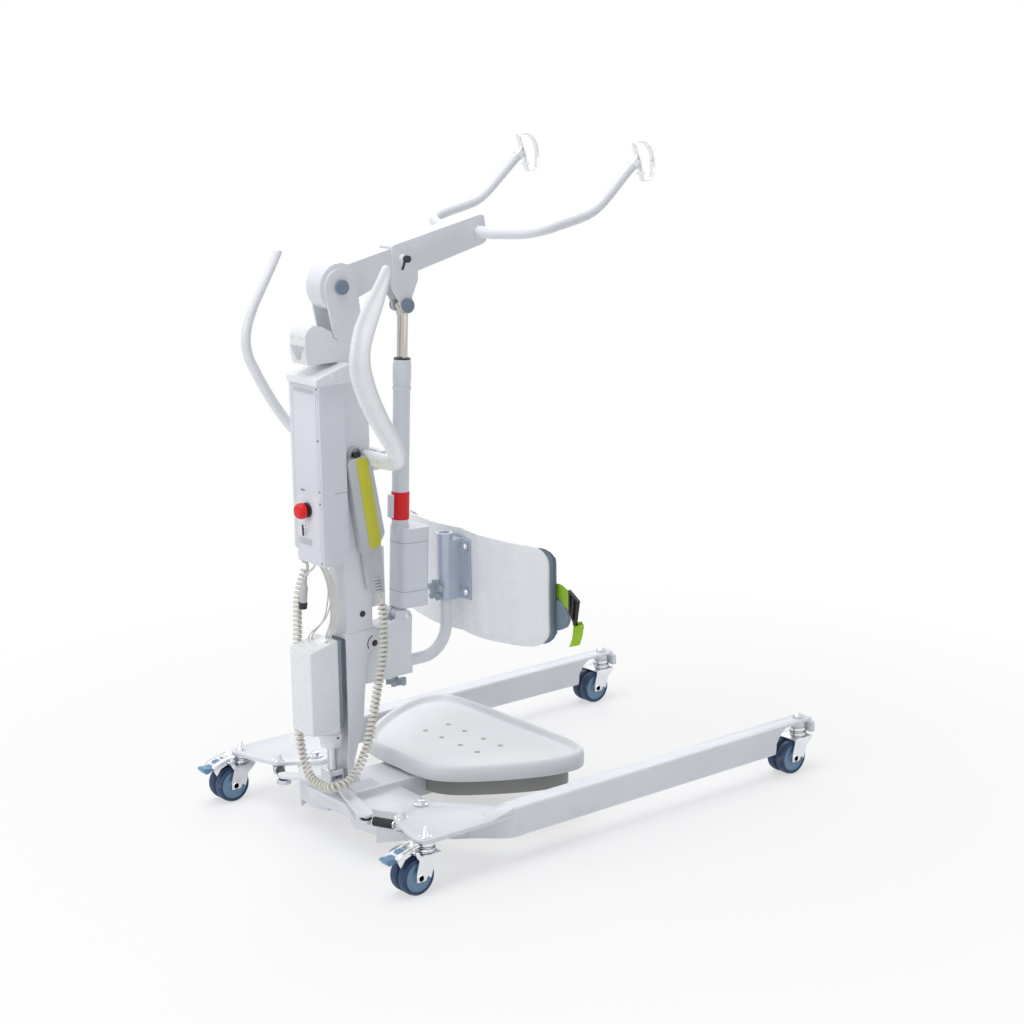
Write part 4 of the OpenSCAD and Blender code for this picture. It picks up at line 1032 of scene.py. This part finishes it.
def sling_hook(word, side):
    """A D-shaped steel eye, a rounded band bent round and welded to the arm."""
    loop = [(726, 1330), (731, 1311.5), (743, 1310.5), (756, 1313), (759.5, 1330), (759, 1350),
            (753, 1370), (740, 1384), (724, 1389.5), (710, 1387.5), (710, 1380), (716.5, 1362),
            (723.5, 1344)]
    closed = loop[-3:] + loop + loop[:4]
    line = catmull([at(x, side * SLING_Y, z) for x, z in closed], 6)[18:18 + 6 * len(loop)]
    tangent = np.roll(line, -1, 0) - np.roll(line, 1, 0)
    bm = bmesh.new()
    rings = []
    for q, t in zip(line, tangent):
        t = t / np.linalg.norm(t)
        over = np.array((0.0, 1.0, 0.0))
        out = np.cross(t, over)
        rings.append([bm.verts.new(q + a * out + b * over) for a, b in oval(2.5, 7, 3.2, 20)])
    join_rings(bm, rings, closed=True)
    hook = piece(f"sling_eye_{word}", bm, "chrome", "sleeve")
    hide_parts("sling_hooks")
    lathe(f"sling_eye_pin_{word}", [(3.6, -10), (4, -9.6), (4, 9.6), (3.6, 10)],
          at(727, side * SLING_Y, 1325), (0, 1, 0), "chrome", "sleeve", 24)
    tip = at(714.5, side * SLING_Y, 1351)
    arm = tip - at(680, side * SLING_Y, 1322)
    lathe(f"arm_ferrule_{word}", [(10.6, -16), (11.6, -15), (11.6, -2), (10.8, 0.4), (4, 0.6)],
          tip, arm, "steel", "sleeve", 36)


# ---------------------------------------------------------------- loose leads under the box

def leads():
    """The motor leads that loop below the box and gather on the cover's top."""
    runs = [(-18, -30, -30, -14, 42), (-14, -25, -26, -10, 40), (-9, -18, -20, -6, 42),
            (-4, -10, -13, -3, 40), (1, -4, -8, 1, 42), (6, 0, 6, 18, 20), (-6, -14, 2, 22, 14)]
    for k, (top, high, low, end, x) in enumerate(runs):
        foot = 424 + (x + 22) * 0.2 - 6
        route = [(36, top, 588.6), (37, top, 580), (46, 0.6 * high + 0.4 * top, 556),
                 (51, high, 522), (50 if x > 30 else 44, low, 470),
                 (x + 2, 0.7 * end + 0.3 * low, 440), (x, end, foot)]
        line = routed(route, 16, 0.004)
        lead = wire(f"box_lead_{k}", line[0], 1.5 * MM, "lead", "base")
        if k == 0:
            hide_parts("box_leads")


def charge_plug():
    """The charger's plug, hanging on a short lead beside the curly cord."""
    route = [(30, 12, 588.6), (30, 12, 584), (27, 12, 577), (21, 14, 571), (15, 18, 566),
             (12, 21, 560), (11, 22.5, 553)]
    line = routed(route, 12, 0.002)
    down = Vector((-0.03, 0.12, -1))
    top = at(11, 22.5, 554)
    plug = lathe("charge_plug", [(3, -2), (4.4, 0), (5.2, 4), (4.6, 5), (5.4, 9), (4.8, 10),
                                 (6, 14), (7.2, 17), (7.6, 20), (7.6, 50), (7, 52)],
                 top, down, "handset", "base", 32)
    ring = lathe("charge_plug_ring", [(8, 50), (8.7, 51), (8.7, 62), (8, 63.5), (5.5, 63.5),
                                      (5.2, 59)], top, down, "black", "base", 32)
    lead = wire("charge_lead", line[0], 2.0 * MM, "lead", "base")


control_box_details()
handset_details()
mast_details()
cover()
push_handle("right", -1)
push_handle("left", 1)
footplate()
for end, (wheel_x, wheel_y) in (("r", REAR_CASTER), ("f", FRONT_CASTER)):
    caster_details(end + "r", wheel_x, -wheel_y)
    caster_details(end + "l", wheel_x, wheel_y)
brake_details("right", -REAR_CASTER[1], "brake_r")
brake_details("left", REAR_CASTER[1], "brake_l")
base_details()
leg_fairing("r", -1)
leg_fairing("l", 1)
actuator_details()
leg_shell()
pad = knee_cushion()
pad_seam(pad, "pad_piping", 1.5, 12)
strap()
calf_flap()
buckle()
sling_hook("right", -1)
sling_hook("left", 1)
leads()
charge_plug()


# ---------------------------------------------------------------- light and floor

def camera_or_mirror(tree):
    """1 for rays from the camera or from a glossy surface, else 0."""
    path = tree.nodes.new("ShaderNodeLightPath")
    either = add(tree, "ShaderNodeMath", operation="MAXIMUM")
    tree.links.new(path.outputs["Is Camera Ray"], either.inputs[0])
    tree.links.new(path.outputs["Is Glossy Ray"], either.inputs[1])
    return either.outputs[0]


def mix_shaders(tree, factor, first, second, target):
    mix = tree.nodes.new("ShaderNodeMixShader")
    for k, value in enumerate((factor, first, second)):
        tree.links.new(value, mix.inputs[k])
    tree.links.new(mix.outputs[0], target)


def area_light(name, place, aim, size, power):
    data = bpy.data.lights.new(name, "AREA")
    data.size = size
    data.energy = power
    lamp = put(name, data)
    lamp.location = place
    lamp.rotation_euler = (Vector(aim) - Vector(place)).to_track_quat("-Z", "Y").to_euler()


def studio():
    """Four soft lamps, and a world that the camera and gloss see as white."""
    middle = (0, 0, 0.6)
    area_light("overhead", (-0.9, 0.3, 4.8), middle, 3.2, 105)
    area_light("key", (-4.2, -0.4, 2.2), middle, 2.4, 40)
    area_light("side", (1.5, -4.4, 2.4), middle, 2.6, 9)
    area_light("back", (2.6, 3.4, 3.4), middle, 2.6, 40)
    world = bpy.data.worlds.new("studio")
    bpy.context.scene.world = world
    world.use_nodes = True
    tree = world.node_tree
    tree.nodes.clear()
    out = tree.nodes.new("ShaderNodeOutputWorld")
    light = add(tree, "ShaderNodeBackground", Color=(0.93, 0.95, 1.0, 1), Strength=0.40)
    seen = add(tree, "ShaderNodeBackground", Color=(1, 1, 1, 1), Strength=1.0)
    mix_shaders(tree, camera_or_mirror(tree), light.outputs[0], seen.outputs[0],
                out.inputs["Surface"])


def floor():
    """A pale floor that keeps the lift's shadow and fades to white further out."""
    bm = bmesh.new()
    bmesh.ops.create_circle(bm, cap_ends=True, segments=96, radius=14)
    mesh = bpy.data.meshes.new("floor")
    bm.to_mesh(mesh)
    bm.free()
    obj = put("floor", mesh)
    obj.location.z = cad_box[0][2] - 0.0002
    m, tree, shader = new_material("floor")
    place = add(tree, "ShaderNodeTexCoord").outputs["Object"]
    tone = mix_colour(tree, noise(tree, place, 3, 3), (0.90, 0.905, 0.91), (0.93, 0.93, 0.93))
    tree.links.new(tone, shader.inputs["Base Color"])
    shader.inputs["Roughness"].default_value = 0.7
    far = add(tree, "ShaderNodeVectorMath", operation="LENGTH")
    tree.links.new(place, far.inputs[0])
    white = spread(tree, far.outputs["Value"], 0.5, 1.7, 0.55, 1)
    part = add(tree, "ShaderNodeMath", operation="MULTIPLY")
    tree.links.new(white, part.inputs[0])
    tree.links.new(camera_or_mirror(tree), part.inputs[1])
    glow = add(tree, "ShaderNodeEmission", Color=(1, 1, 1, 1), Strength=1.0)
    mix_shaders(tree, part.outputs[0], shader.outputs[0], glow.outputs[0],
                tree.nodes["Material Output"].inputs["Surface"])
    mesh.materials.append(m)


studio()
floor()
bpy.context.scene.view_settings.view_transform = "Standard"
